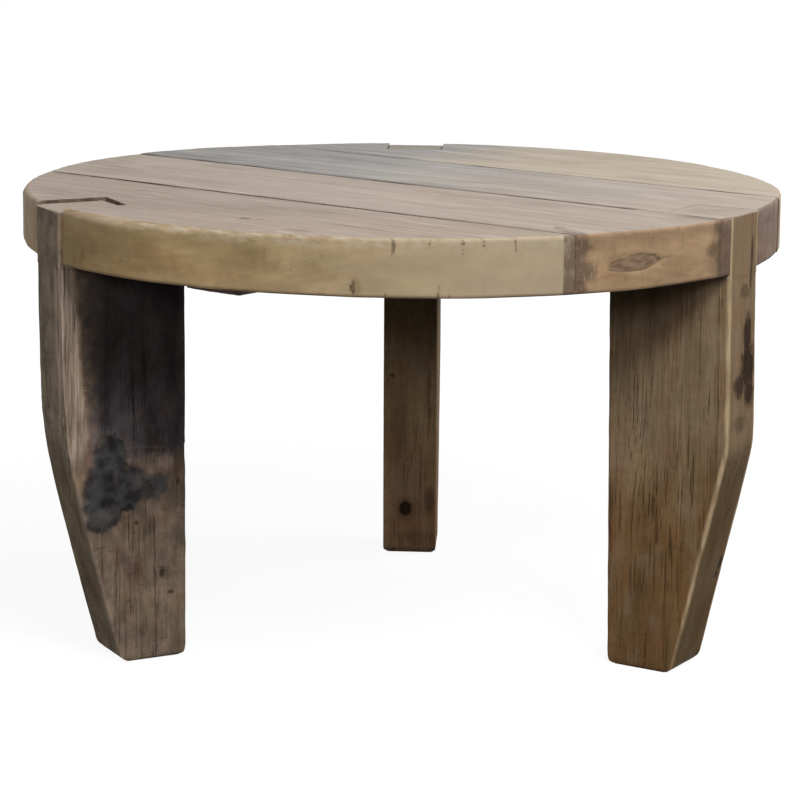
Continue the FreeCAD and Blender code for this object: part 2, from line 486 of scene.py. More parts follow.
def grain_patterns(tree, space, seed, pith, ring_width, sheet):
    """The woods' shared patterns, each from 0 to 1. Sheet stretches the checks across the thickness."""
    offset = (seed * 1.7, seed * 0.9, seed * 2.3)
    sway = mottle(space, (1.6, 6.0, 6.0), offset, detail=2.0)
    ripple = mottle(space, (9.0, 30.0, 30.0), offset, detail=2.0)
    drift = (sway - 0.5) * 0.05 + (ripple - 0.5) * 0.005
    along, side, depth = axes(space)
    side = side - pith[0] + drift
    depth = depth - pith[1] + drift
    bent = joined(along, side, depth)
    distance = calc("SQRT", side * side + depth * depth)
    rings = tree.nodes.new("ShaderNodeTexNoise")
    rings.noise_dimensions = "1D"
    ring_place = distance * (1 / ring_width) + seed * 13
    fill(rings.inputs, {"W": ring_place, "Scale": 1.0, "Detail": 3.0, "Roughness": 0.65})
    streaks = mottle(bent, (3.0, 60.0, 60.0), offset, detail=4.0, roughness=0.6)
    fibres = mottle(bent, (16.0, 560.0, 560.0), offset, detail=3.0, roughness=0.7)
    pores = spread(mottle(bent, (45.0, 1500.0, 1500.0), offset, detail=1.0), 0.60, 0.70)
    blotches = mottle(space, (5.0, 11.0, 11.0), offset, detail=4.0, roughness=0.6)
    fine = mottle(bent, (7.5, 400.0, 400.0 * sheet), (offset[1], offset[2], offset[0]), detail=2.0)
    wide = mottle(bent, (6.0, 230.0, 230.0 * sheet), (offset[2], offset[0], offset[1]), detail=2.0)
    patch = mottle(space, (6.0, 16.0, 16.0), (offset[2], offset[1], offset[0]), detail=2.0)
    checks = spread(fine, 0.585, 0.66) * spread(patch, 0.40, 0.58)
    cracks = spread(wide, 0.655, 0.69) * spread(patch, 0.44, 0.54)
    return Grain(Value(tree, rings.outputs[0]), streaks, fibres, pores, blotches, checks, cracks)


print("every wood has", ", ".join(Grain._fields))

# %% [markdown]
# ## The wood of the planks
# Rubbing, sun and dust have turned the top of each plank a soft greyish beige, while the rim keeps the
# warm brown of cut wood. The mesh stores how much weather each point has had, and the material turns
# from one look to the other by it. Each plank has its own seed, its own rings and its own colours.

# %% Plank wood
PlankLook = namedtuple("PlankLook", "seed pith ring_width pale dark rim_pale rim_dark rim_olive "
                       "grey_until warm_from flaked")
GREY_PALE, GREY_DARK = "989592", "86827f"


def plank_wood(name, look, extra=None):
    """Weathered wood for one plank. Extra adds the marks that only that plank has."""
    material, tree = new_material(name)
    space, level = grain_space(tree, PLANK_ANGLE, OBJECT_X_IS_GRAIN)
    grain = grain_patterns(tree, space, look.seed, look.pith, look.ring_width, 0.08)
    mixed = grain.streaks * 0.6 + grain.rings * 0.4
    calm = grain.streaks * 0.8 + grain.rings * 0.2
    lines = spread(calm, 0.24, 0.76)
    along = axes(level)[0]
    greyness = spread(grain.blotches * 0.12 + along, look.grey_until + 0.06, look.warm_from + 0.06, 1.0, 0.0)
    top = blend(lines, look.dark, look.pale)
    grey = blend(lines, GREY_DARK, GREY_PALE)
    grey = tinted(grey, spread(along, -0.36, 0.02, 0.90, 1.10))
    top = blend(greyness, top, grey)
    rim_lines = spread(mixed, 0.22, 0.78)
    rim = blend(rim_lines, look.rim_dark, look.rim_pale)
    warm = spread(mottle(space, (11.0, 16.0, 34.0), (7, look.seed, 3), detail=5.0, roughness=0.6), 0.50, 0.66)
    rim = blend(warm * 0.35, rim, "8f6c48")
    olive = spread(mottle(space, (7.0, 9.0, 22.0), (look.seed, 5, 0), detail=3.0), 0.42, 0.66)
    rim = blend(olive * 0.50, rim, look.rim_olive)
    clouds = mottle(space, (14.0, 24.0, 44.0), (3, look.seed, 1), detail=5.0, roughness=0.6)
    rim = tinted(rim, spread(clouds, 0.3, 0.7, 0.84, 1.13))
    weather = attribute(tree, "weather")
    uneven = mottle(space, (40.0, 110.0, 110.0), (look.seed, 0, 0), detail=3.0)
    turned = spread((uneven - 0.5) * 0.8 + weather, 0.3, 0.7)
    base = blend(turned, rim, top)
    base = tinted(base, spread(grain.blotches, 0.25, 0.75, 0.91, 1.08))
    base = tinted(base, spread(grain.fibres, 0.25, 0.75, 0.97, 1.03))
    base = blend(grain.pores * 0.12, base, "54453a")
    base = blend(grain.checks * spread(weather, 0.2, 0.8, 0.10, 0.15), base, "45362a")
    long_checks = grain.cracks * spread(weather, 0.2, 0.8, 0.08, 0.30)
    base = blend(long_checks, base, "352920")
    stain = mottle(space, (8.0, 20.0, 30.0), (0, look.seed, 0), detail=5.0, roughness=0.62)
    base = blend(spread(stain, 0.55, 0.72) * spread(weather, 0.2, 0.8, 0.12, 0.24), base, "6b5442")
    scuff = spread(mottle(space, (15.0, 80.0, 60.0), (look.seed, 2, 9), detail=4.0), 0.58, 0.70)
    base = blend(scuff * spread(weather, 0.2, 0.8, 0.0, 0.22), base, "cfc4b5")
    edge = attribute(tree, "rubbed") * look.flaked
    flakes = mottle(space, (34.0, 150.0, 150.0), (6, look.seed, 4), detail=4.0, roughness=0.65)
    base = blend(edge * spread(flakes, 0.42, 0.60, 0.15, 0.60), base, "cbc0b0")
    base = blend(edge * spread(flakes, 0.34, 0.42, 0.60, 0.0), base, "5d4c3c")
    if extra:
        base = extra(tree, level, base)
    # on a plank the stored number is only dirt along the open joints
    base = blend(attribute(tree, "dirt_and_shade"), base, "2e231b")
    under = spread(axes(level)[2], UNDERSIDE + 0.0005, UNDERSIDE + 0.004, 0.55, 0.0)
    base = blend(under, base, "4b3929")
    rough = grain.checks * 0.3 + spread(grain.streaks, 0.3, 0.7, 0.62, 0.50)
    relief = grain.fibres * 0.4 + grain.streaks
    splits = (grain.cracks * 1.5 + grain.checks) * weather
    finish(tree, base, rough, raised(relief - splits, 0.0002), 0.14)
    return material


print("a plank's look is", ", ".join(PlankLook._fields))

# %% [markdown]
# ## Marks that only one plank has
# A mark on the rim is placed by its angle about the table's middle. The coordinates are turned so
# that X points outwards there and Y runs along the rim. Then a mark is an ellipse round its middle.

# %% Marks on the rim and the top
def facing(tree, angle):
    """Coordinates with X outwards at an angle about the table's middle, and Y along the rim."""
    return placed(object_place(tree), turn=(0, 0, -math.radians(angle)))


KNOT_ANGLE = -56.3
KNOT_HEIGHT = 0.4432
KNOT_HALF_WIDTH = 0.0290
KNOT_HALF_HEIGHT = 0.0074
KNOT_SLOPE = 0.06
WEDGE_ANGLE = -65.9
DARK_END_ANGLE = -38.5
SPOTS_ANGLE = -105.0
FRONT_KNOT = (0.0587, -0.3084, TOP)
# where the first plank's rim turns paler with painted light
PALE_FROM, PALE_TO = -0.24, 0.16
print("knot at", KNOT_ANGLE, "degrees, wedge at", WEDGE_ANGLE)

# %% Marks of the second plank
def second_plank_marks(tree, level, base):
    """Painted shade along the rim's upper part, the eye-shaped knot in the rim, the dark wedge beside the
    joint, and the dark end by the leg.
    """
    uneven = mottle(level, (75, 75, 75), detail=4.0, roughness=0.6)
    on_rim = 1.0 - attribute(tree, "weather")
    # painted shade: the rim darkens towards its upper corner
    high = spread(axes(level)[2], TOP - 0.020, TOP - 0.006, 0.0, 0.35)
    base = blend(high * on_rim, base, "6f553d")
    beside_joint = facing(tree, WEDGE_ANGLE)
    wedge = marks_at(RADIUS, MARK_DEPTH,
                     (0.003, 0.460, 0.019, 0.016, 0.85), (0.005, 0.440, 0.021, 0.016, 0.80),
                     (0.001, 0.424, 0.015, 0.014, 0.85))
    wedge.append(Mark((RADIUS, 0.004, 0.470), (0.06, 0.016, 0.008), 0.60))
    wedge = marks(beside_joint, wedge, uneven)
    base = blend(wedge, base, "5a483c")
    fleck = spread(mottle(beside_joint, (90, 260, 120), (3, 1, 1), detail=3.0), 0.60, 0.66)
    fleck = fleck * spread(wedge, 0.2, 0.6)
    base = blend(fleck * 0.35, base, "b5a596")
    by_leg = facing(tree, DARK_END_ANGLE)
    out, along_rim, _ = axes(by_leg)
    shade = spread(along_rim, -0.028, 0.000, 0.0, 0.80) * spread(out, 0.34, 0.37)
    shade = shade * spread(uneven, 0.30, 0.60, 0.65, 1.0)
    base = blend(shade, base, "50402f")
    end = marks_at(RADIUS, MARK_DEPTH,
                   (-0.016, 0.446, 0.013, 0.008, 0.5), (-0.006, 0.466, 0.012, 0.008, 0.5),
                   (-0.002, 0.440, 0.008, 0.024, 0.5))
    end = marks(by_leg, end, mottle(level, (140, 140, 140), detail=5.0, roughness=0.7))
    base = blend(end, base, "3d2f24")
    x, y, z = axes(facing(tree, KNOT_ANGLE))
    at_knot = joined(x, y, y * -KNOT_SLOPE + z)
    wavy = mottle(at_knot, (60, 60, 90), (1, 1, 4), detail=3.0)
    away = away_from(at_knot, (RADIUS, 0, KNOT_HEIGHT), (0.06, KNOT_HALF_WIDTH, KNOT_HALF_HEIGHT))
    away = away + (wavy - 0.5) * 0.45
    inside = spread(away, 0.80, 1.05, 1.0, 0.0)
    fill = mottle(at_knot, (90, 70, 260), (2, 8, 1), detail=3.0)
    fill = blend(spread(fill, 0.38, 0.62), "5f4b3e", "806a59")
    base = blend(inside * 0.80, base, fill)
    outline = spread(abs(away - 1.0), 0.0, 0.17, 1.0, 0.0)
    strength = spread(mottle(at_knot, (40, 55, 60), (5, 2, 2), detail=2.0), 0.35, 0.60, 0.25, 0.80)
    base = blend(outline * strength, base, "3b2c24")
    tail = marks_at(RADIUS, MARK_DEPTH,
                    (0.036, KNOT_HEIGHT, 0.014, 0.0012, 0.35),
                    (0.022, KNOT_HEIGHT + 0.0050, 0.012, 0.0014, 0.45))
    tail = marks(at_knot, tail, wavy)
    return blend(tail, base, "5a463b")


print("second plank: rim shade, wedge, dark end, knot")

# %% Marks of the first plank
def first_plank_marks(tree, level, base):
    """A small dark knot and pale scuffs near the front, painted light that makes the rim paler to the right,
    painted shade that darkens it near the left leg, and spots on the rim.
    """
    uneven = mottle(level, (90, 90, 90), detail=3.0)
    dark = marks(level,
                 (Mark(FRONT_KNOT, (0.009, 0.006, 0.01), 0.8),
                  Mark((0.074, -0.304, TOP), (0.007, 0.003, 0.01), 0.5),
                  Mark((0.150, -0.334, TOP), (0.020, 0.008, 0.01), 0.4)), uneven)
    base = blend(dark, base, "4c3c31")
    pale = marks(level,
                 (Mark((0.148, -0.352, TOP), (0.012, 0.005, 0.01), 0.30),
                  Mark((0.178, -0.345, TOP), (0.009, 0.005, 0.01), 0.25),
                  Mark((0.120, -0.362, TOP), (0.007, 0.006, 0.01), 0.25)), uneven)
    base = blend(pale, base, "cfc5b7")
    across = axes(object_place(tree))[0]
    on_rim = 1.0 - attribute(tree, "weather")
    # painted light: the rim grows paler towards the right
    painted_light_on_rim = spread(across, PALE_FROM, PALE_TO, 0.0, 0.75) * on_rim
    base = blend(painted_light_on_rim, base, "aa9a84")
    # painted shade: the rim turns a darker olive-brown near the left leg
    by_leg = spread(across, -0.34, -0.17, 0.42, 0.0) * on_rim
    base = blend(by_leg, base, "6c5534")
    along_rim = axes(facing(tree, WEDGE_ANGLE))[1]
    by_joint = spread(along_rim, -0.0130, -0.0116) * on_rim
    by_joint = by_joint * spread(uneven, 0.30, 0.60, 0.45, 0.80)
    base = blend(by_joint, base, "5a483c")
    spots = marks_at(RADIUS, MARK_DEPTH,
                     (0.0, 0.440, 0.003, 0.004, 0.35), (0.030, 0.455, 0.004, 0.003, 0.25),
                     (0.062, 0.430, 0.006, 0.012, 0.40), (-0.050, 0.449, 0.004, 0.003, 0.3),
                     (-0.041, 0.447, 0.032, 0.016, 0.30), (0.020, 0.437, 0.030, 0.010, 0.30))
    spots = marks(facing(tree, SPOTS_ANGLE), spots, uneven)
    return blend(spots, base, "6d5537")


print("first plank: knot, scuffs, rim tones, spots")

# %% Look of each plank
PLANK_LOOKS = {
    "front": PlankLook(1.0, (-0.30, 0.36), 0.0046, "9e8e81", "968779", "b49a72", "a18761", "8a7650",
                       -1.0, -0.9, 1.0),
    "mid_front": PlankLook(2.0, (-0.10, 0.10), 0.0052, "a6988b", "9e9083", "b29575", "9b7f62", "967e5c",
                       -1.0, -0.9, 0.15),
    "mid_back": PlankLook(3.0, (0.11, 0.12), 0.0042, "aa9d8f", "a19487", "70594a", "604a3d", "5c4a39",
                       -0.25, 0.36, 0.2),
    "back": PlankLook(4.0, (0.30, 0.08), 0.0050, "b0a391", "a79a88", "9c836b", "8b7259", "8c785a",
                       -0.20, -0.02, 0.5),
}
PLANK_MARKS = {"front": first_plank_marks, "mid_front": second_plank_marks}
plank_materials = {name: plank_wood("wood_" + name, look, PLANK_MARKS.get(name))
                   for name, look in PLANK_LOOKS.items()}
print("plank woods:", ", ".join(material.name for material in plank_materials.values()))

# %% [markdown]
# ## Dark walls
# The walls of a crack and of a notch are wood that never sees light or a cloth, so they are dark and
# rough, with a little of the grain in them.

# %% Crack and notch walls
def wall_wood(name, pale, dark):
    """Dirty rough wood inside a crack or a notch."""
    material, tree = new_material(name)
    place = object_place(tree)
    grime = mottle(place, (60.0, 60.0, 25.0), detail=4.0, roughness=0.6)
    base = blend(spread(grime, 0.35, 0.7), dark, pale)
    finish(tree, base, spread(grime, 0.3, 0.7, 0.95, 0.8), raised(grime, 0.001), 0.1)
    return material


crack_wall = wall_wood("crack_wall", "3a2c20", "1c140e")
notch_wall = wall_wood("notch_wall", "77685a", "4b3f35")
tight_wall = wall_wood("tight_wall", "a39583", "8b7d6c")
print("walls:", crack_wall.name, notch_wall.name, tight_wall.name)

# %% [markdown]
# ## The top as one disc
# On the real table the planks were joined first and then cut round together. The mesh is made in the
# same order: a cylinder with even rows round its rim, and rings on both faces that lie closer
# together towards the rim, where the wear is.

# %% Make the disc
SECTORS = 1080
RIM_ROWS = 29
RING_INSETS = (0.0012, 0.0025, 0.004, 0.006, 0.008, 0.011, 0.014, 0.018, 0.023, 0.029, 0.036, 0.045,
               0.056, 0.070)


def sharp_disc():
    """The whole top, sharp-cornered, with fine rows at its rim."""
    bm = bmesh.new()
    thickness = TOP - UNDERSIDE
    bmesh.ops.create_cone(bm, cap_ends=True, segments=SECTORS, radius1=RADIUS, radius2=RADIUS,
                          depth=thickness)
    bmesh.ops.translate(bm, vec=(0, 0, UNDERSIDE + thickness / 2), verts=bm.verts[:])
    uprights = [edge for edge in bm.edges if abs(edge.verts[0].co.z - edge.verts[1].co.z) > thickness / 2]
    bmesh.ops.subdivide_edges(bm, edges=uprights, cuts=RIM_ROWS - 1, use_grid_fill=True)
    caps = [face for face in bm.faces if len(face.verts) == SECTORS]
    reached = 0.0
    for inset in RING_INSETS:
        for cap in caps:
            bmesh.ops.inset_region(bm, faces=[cap], thickness=inset - reached, use_even_offset=False)
        reached = inset
    return bm


disc = sharp_disc()
print("disc:", len(disc.faces), "faces")

# %% [markdown]
# ## Planks from the disc
# Each plank is a copy of the disc, cut along its joints. More cuts, close beside the joints and in a
# grid over the flat middle, give the rows that its own wear needs. In this frame X runs along the
# planks and Y across them, so every cut is square to an axis.

# %% Helpers for cutting
GRID = 0.010
GRID_REACH = 40
MERGE = 1e-7
JOINT_ROWS = (0.0008, 0.0018, 0.003, 0.005, 0.008)
JOINT_FACE_ROWS = (0.0012, 0.0026, 0.005)


def everything(bm):
    """All of a mesh, as the cutting operator wants it."""
    return bm.verts[:] + bm.edges[:] + bm.faces[:]


def part_of(faces):
    """Some faces with their edges and corners."""
    edges = {edge for face in faces for edge in face.edges}
    corners = {corner for face in faces for corner in face.verts}
    return list(corners) + list(edges) + list(faces)


def slice_at(bm, geometry, axis, places):
    """Cuts across an axis at each place, and gives back the same region."""
    normal = [1.0 if index == axis else 0.0 for index in range(3)]
    for place in places:
        point = [place if index == axis else 0.0 for index in range(3)]
        made = bmesh.ops.bisect_plane(bm, geom=geometry, dist=MERGE, plane_co=point, plane_no=normal)
        geometry = made["geom"]
    return geometry


print("the grid over the flat middle is", GRID, "m")

# %% Cut one plank
def cut_plank(low, high):
    """A sharp-cornered plank between two lines across, with low or high at None where the rim ends it."""
    bm = disc.copy()
    for place, side in ((low, -1), (high, 1)):
        if place is None:
            continue
        made = bmesh.ops.bisect_plane(bm, geom=everything(bm), dist=MERGE, plane_co=(0, place, 0),
                                      plane_no=(0, side, 0), clear_outer=True)
        rim = [item for item in made["geom_cut"] if isinstance(item, bmesh.types.BMEdge)]
        bmesh.ops.edgeloop_fill(bm, edges=rim)
        slice_at(bm, everything(bm), 1, [place - side * row for row in JOINT_ROWS])
    bottom = -RADIUS if low is None else low
    height = RADIUS if high is None else high
    wide = part_of([face for face in bm.faces if len(face.verts) > 5 or face.calc_area() > GRID * GRID])
    wide = slice_at(bm, wide, 0, [GRID * (index + 0.5) for index in range(-GRID_REACH, GRID_REACH)])
    middle = part_of([item for item in wide if isinstance(item, bmesh.types.BMFace)
                      and item.is_valid and abs(item.normal.z) > 0.5])
    count = round((height - bottom) / GRID)
    slice_at(bm, middle, 1, [bottom + (height - bottom) * (row + 0.5) / count for row in range(count)])
    walls = part_of([face for face in bm.faces
                     if abs(face.normal.y) > 0.99 and face.calc_area() > GRID * 0.02])
    slice_at(bm, walls, 2, [TOP - row for row in JOINT_FACE_ROWS] + [UNDERSIDE + JOINT_FACE_ROWS[0]])
    return bm


print("rows beside a joint:", JOINT_ROWS)

# %% [markdown]
# ## Wear on the planks
# The rim's upper corner is rubbed round, and at the front left it has worn into a wide slope. The disc
# is no longer quite round. Beside the joints the planks' corners have gone, and the gap between the
# second and third planks has opened. A knot stands in the rim near the right leg.

# %% Shape of the worn rim
def world_angle(x, y):
    """The angle about the table's middle in degrees, from a point in the planks' frame."""
    angle = math.degrees(math.atan2(y, x) + PLANK_ANGLE)
    return (angle + 180) % 360 - 180


FLATS = ((112, 26, 0.008), (-106, 30, 0.0045), (-18, 18, 0.003), (168, 12, 0.0015), (20, 22, 0.0025))


def out_of_round(angle):
    """How far the rim lies inside the true circle."""
    return sum(depth * bump(angle, centre, half) for centre, half, depth in FLATS)


def rim_corner(angle):
    """How far the rim's upper corner is worn, inwards and downwards."""
    uneven = 1 + 0.30 * wobble(angle / 9, 0, 0, 1) + 0.22 * wobble(angle / 1.8, 0, 0, 2)
    slope = bump(angle, -132, 24)
    left = bump(abs(angle), 180, 32)
    return (0.0036 + 0.015 * slope + 0.005 * left) * uneven, (0.0030 + 0.0050 * slope + 0.004 * left) * uneven


def knot_depth(angle, height):
    """The knot's shrunken outline, as a groove in the rim, and its slightly hollow middle."""
    sideways = math.radians(angle - KNOT_ANGLE) * RADIUS / KNOT_HALF_WIDTH
    away = math.hypot(sideways, (height - KNOT_HEIGHT) / KNOT_HALF_HEIGHT)
    return 0.0010 * bump(away, 1.0, 0.30) + 0.0004 * (1 - step(0.7, 1.0, away))


print("worn corner at the front left:", [round(v, 4) for v in rim_corner(-132)])

# %% How a joint has opened
Plank = namedtuple("Plank", "low high sunk low_open high_open seed")


def still_open(place, along):
    """1 where a joint shows, 0 where the middle joint is tight beside the right leg."""
    return 1 - step(0.295, 0.306, along) if place == MIDDLE_JOINT else 1.0


def joint_opening(place, opened, along):
    """How far a joint's face has drawn back at a place along it."""
    uneven = 0.75 + 0.6 * wobble(along * 9, 0, 0, 5) + 0.5 * wobble(along * 45, 0, 0, 9)
    return opened * still_open(place, along) * uneven + 0.0001


print("middle joint open at 0 and 0.31:", still_open(MIDDLE_JOINT, 0), still_open(MIDDLE_JOINT, 0.31))

# %% Wear one plank's points
def worn_plank_point(point, plank):
    """Where a point of the sharp plank ends up."""
    x, y, z = point
    radius = math.hypot(x, y)
    angle = world_angle(x, y)
    inset, drop = rounded((RADIUS - radius, TOP - z), rim_corner(angle))
    under = 0.0020 + 0.0012 * wobble(angle / 5, 0, 0, 3) + 0.006 * bump(abs(angle), 180, 34)
    inset, lift = rounded((inset, TOP - drop - UNDERSIDE), (under, under))
    height = UNDERSIDE + lift
    at_rim = step(0.10, 0.0, inset)
    chatter = 0.00035 * wobble(angle * 0.9, height * 60, 0, 4) + 0.0004 * wobble(angle / 7, height * 15, 0, 6)
    inset += at_rim * (out_of_round(angle) + 0.0004 + chatter)
    if inset < 0.02:
        inset += knot_depth(angle, height) * step(0.02, 0.0, inset)
    scale = (RADIUS - inset) / radius if radius > 1e-9 else 1.0
    x, y = x * scale, y * scale
    corner = 0.0015 * (1 + 0.5 * wobble(x * 22, 0, 0, plank.seed) + 0.6 * wobble(x * 110, 0, 0, plank.seed))
    for place, side, opened in ((plank.low, 1, plank.low_open), (plank.high, -1, plank.high_open)):
        if place is None:
            continue
        away = max((y - place) * side, 0.0)
        reach = corner * (0.15 + 0.85 * still_open(place, x))
        away, depth = rounded((away, TOP - height), (reach * 1.3, reach))
        height = TOP - depth
        away += joint_opening(place, opened, x) * step(0.012, 0.0, away)
        y = place + side * away
    top_side = step(UNDERSIDE + 0.02, TOP - 0.004, height)
    hollow = 0.0005 * (1 + wobble(x * 5, y * 16, 0, plank.seed))
    hollow += 0.00022 * wobble(x * 16, y * 90, 0, plank.seed)
    height -= top_side * (plank.sunk + max(hollow, 0.0))
    rough_sawn = 0.0003 * (1 + wobble(x * 9, y * 30, 3, plank.seed))
    height += (1 - top_side) * step(0.002, 0.03, inset) * rough_sawn
    return x, y, height


print("planks can be worn")

# %% [markdown]
# ## Cutting the notches and cracks
# The notches are cut through the two planks that hold a leg's head at the front, and through the one
# at the back. The small splits along the rim are where the plank's end dried faster than the rest:
# each lies along the grain and enters from the rim.

# %% Notch cutters
NotchGap = namedtuple("NotchGap", "low_side high_side end_low end_high")
NOTCH_GAPS = {
    "left": NotchGap(0.0009, 0.0001, 0.0055, 0.0010),
    "right": NotchGap(0.00004, 0.00004, 0.0001, 0.0001),
    "back": NotchGap(0.0006, 0.0003, 0.0015, 0.0010),
}


def notch_cutter():
    """A block for each leg's notch, in the planks' frame. The left one is worn open, the right one tight."""
    bm = bmesh.new()
    for name, angle in LEG_ANGLES.items():
        gap = NOTCH_GAPS[name]
        turn = Matrix.Rotation(angle - PLANK_ANGLE, 3, "Z")
        block = bmesh.ops.create_cube(bm, size=1.0)["verts"]
        for face in {face for vertex in block for face in vertex.link_faces}:
            face.material_index = 1 if name == "right" else 0
        for vertex in block:
            u, v, w = vertex.co
            end = gap.end_low if v < 0 else gap.end_high
            x = TENON_INNER - end if u < 0 else RADIUS + 0.02
            y = -LEG_HALF - gap.low_side if v < 0 else LEG_HALF + gap.high_side
            vertex.co = turn @ Vector((x, y, (TOP + UNDERSIDE) / 2 + 0.12 * w))
    return new_object("notches", bm, [notch_wall, tight_wall])


print("notches for", ", ".join(NOTCH_GAPS))

# %% Splits in the rim
# Each row is an angle, a height, half the split's height, its depth and its width.
RIM_SPLITS = (
    (-91.2, TOP - 0.006, 0.0140, 0.012, 0.0030), (-86.4, TOP - 0.004, 0.0090, 0.009, 0.0022),
    (-81.9, TOP - 0.006, 0.0130, 0.010, 0.0028), (-79.1, TOP - 0.004, 0.0090, 0.008, 0.0020),
    (-74.7, TOP - 0.005, 0.0120, 0.010, 0.0025), (-60.2, TOP - 0.003, 0.0080, 0.008, 0.0018),
    (-58.1, TOP - 0.002, 0.0060, 0.006, 0.0014), (-53.2, TOP - 0.003, 0.0080, 0.008, 0.0018),
    (-48.4, TOP - 0.003, 0.0080, 0.008, 0.0018), (-84.9, UNDERSIDE + 0.002, 0.0120, 0.012, 0.0026),
    (-83.6, UNDERSIDE, 0.0060, 0.006, 0.0014), (-96.6, UNDERSIDE + 0.010, 0.0080, 0.007, 0.0042),
    (-101.0, UNDERSIDE, 0.0060, 0.006, 0.0014), (-92.0, UNDERSIDE, 0.0060, 0.006, 0.0014),
    (38.0, TOP - 0.002, 0.0100, 0.014, 0.0018), (55.0, UNDERSIDE, 0.0120, 0.016, 0.0020),
    (133.0, TOP - 0.002, 0.0110, 0.020, 0.0018), (150.0, TOP - 0.020, 0.0130, 0.020, 0.0022),
    (146.0, UNDERSIDE, 0.0110, 0.014, 0.0017), (-24.5, TOP - 0.002, 0.0090, 0.015, 0.0017),
    (-12.0, UNDERSIDE + 0.012, 0.0110, 0.012, 0.0019), (-169.0, TOP - 0.002, 0.0080, 0.010, 0.0016),
    (118.0, UNDERSIDE, 0.0090, 0.009, 0.0016), (10.0, TOP - 0.024, 0.0120, 0.012, 0.0018),
)
TOP_CRACKS = (
    ((0.290, -0.1555, 0.0), (0.352, -0.1480, 0.0), 0.0011, 0.004),
    ((-0.340, 0.070, 0.0), (-0.265, 0.066, 0.0), 0.0009, 0.004),
    ((-0.150, 0.105, 0.0), (-0.060, 0.109, 0.0), 0.0008, 0.003),
    ((0.180, 0.098, 0.0), (0.262, 0.094, 0.0), 0.0009, 0.004),
    ((-0.060, 0.290, 0.0), (0.045, 0.295, 0.0), 0.0009, 0.004),
    ((-0.215, -0.232, 0.0), (-0.160, -0.230, 0.0), 0.0008, 0.003),
)
print(len(RIM_SPLITS), "splits in the rim,", len(TOP_CRACKS), "cracks in the top")

# %% Splits and cracks of one plank
def split_cutter(plank):
    """The cutters for one plank's splits and cracks."""
    bm = bmesh.new()
    low = -RADIUS if plank.low is None else plank.low
    high = RADIUS if plank.high is None else plank.high
    for angle, height, tall, deep, wide in RIM_SPLITS:
        turn = math.radians(angle) - PLANK_ANGLE
        rim = RADIUS - out_of_round(angle) - 0.001
        x, y = rim * math.cos(turn), rim * math.sin(turn)
        if not low + 0.004 < y < high - 0.004:
            continue
        middle = Vector((x, y, height))
        lean = Vector((0.12 * tall, 0, tall))
        add_crack(bm, middle - lean, middle + lean, (-1 if x > 0 else 1, 0, 0), wide, deep)
    for start, end, width, depth in TOP_CRACKS:
        if low < start[1] < high:
            surface = Vector((0, 0, TOP - plank.sunk))
            add_crack(bm, Vector(start) + surface, Vector(end) + surface, (0, 0, -1), width, depth)
    return new_object("splits", bm, [crack_wall])


print("each plank takes the splits between its joints")

# %% Store the weather on a plank
def inside_rim(x, y):
    """How far a point lies inside the worn rim, as a share of the worn corner's reach there."""
    angle = world_angle(x, y)
    reach, _ = rim_corner(angle)
    return (RADIUS - out_of_round(angle) - math.hypot(x, y)) / reach


def weather_at(x, y, z):
    """1 on the upper face, 0 on the rim, with the change at the upper end of the worn corner."""
    return step(0.45, 0.95, inside_rim(x, y)) * step(TOP - 0.022, TOP - 0.012, z)


def rubbed_at(x, y, z):
    """1 along the rim's upper corner, where hands and cloths have rubbed it pale."""
    return bump(inside_rim(x, y), 0.35, 0.6) * step(TOP - 0.016, TOP - 0.006, z)


def dirt_at(plank):
    """Dirt gathers along the open joints, most on the upper face."""
    def value(x, y, z):
        joints = [joint for joint in (plank.low, plank.high) if joint is not None]
        place = min(joints, key=lambda joint: abs(y - joint))
        away = abs(y - place)
        wide = 0.0036 if place == BACK_JOINT and x > -0.05 else 0.0026
        if place == MIDDLE_JOINT:
            wide += 0.0022 * bump(x, 0.283, 0.022)
        faint = 0.55 * step(0.12, 0.26, x) if place == FRONT_JOINT else 0.0
        line = (0.85 - faint) * step(wide, 0.0006, away)
        halo = 0.35 * step(0.009, 0.0, away) * max(0.5 + 0.7 * wobble(x * 20, y * 40, 0, 8), 0.0)
        on_top = 0.15 + 0.85 * step(0.3, 0.9, inside_rim(x, y))
        return min(1.0, line + halo) * on_top * still_open(place, x) * step(UNDERSIDE, TOP - 0.03, z)
    return value


print("weather on top and on the rim:", weather_at(0, 0, TOP), weather_at(RADIUS, 0, TOP - 0.03))

# %% Sizes of the four planks
PLANKS = {
    "front": Plank(None, FRONT_JOINT, 0.0009, 0.0, 0.0006, 11),
    "mid_front": Plank(FRONT_JOINT, MIDDLE_JOINT, 0.0006, 0.0003, 0.0014, 12),
    "mid_back": Plank(MIDDLE_JOINT, BACK_JOINT, 0.0, 0.0018, 0.0008, 13),
    "back": Plank(BACK_JOINT, None, 0.0004, 0.0005, 0.0, 14),
}
print("planks to make:", ", ".join(PLANKS))

# %% Make the four planks
def make_plank(name, plank):
    """One finished plank."""
    bm = cut_plank(plank.low, plank.high)
    for vertex in bm.verts:
        vertex.co = worn_plank_point(vertex.co, plank)
    bmesh.ops.recalc_face_normals(bm, faces=bm.faces[:])
    piece = new_object("worn_plank_" + name, bm, [plank_materials[name], notch_wall, tight_wall, crack_wall])
    cut(piece, notch_cutter())
    cut(piece, split_cutter(plank))
    paint(piece, "weather", weather_at)
    paint(piece, "rubbed", rubbed_at)
    paint(piece, "dirt_and_shade", dirt_at(plank))
    settle(piece, PLANK_ANGLE, "top_plank_" + name)


for plank_name, plank_sizes in PLANKS.items():
    make_plank(plank_name, plank_sizes)
disc.free()

# %% [markdown]
# ## The wood of the legs
# The legs are thick slabs of the same old wood, darker and rougher than the top, with the grain
# upright. Long drying cracks run up them. The corners are rubbed paler than the faces.

# %% Leg wood
LegLook = namedtuple("LegLook", "seed pith ring_width high_pale high_dark low_pale low_dark turn_height "
                     "end_pale end_dark rubbed_pale checked")


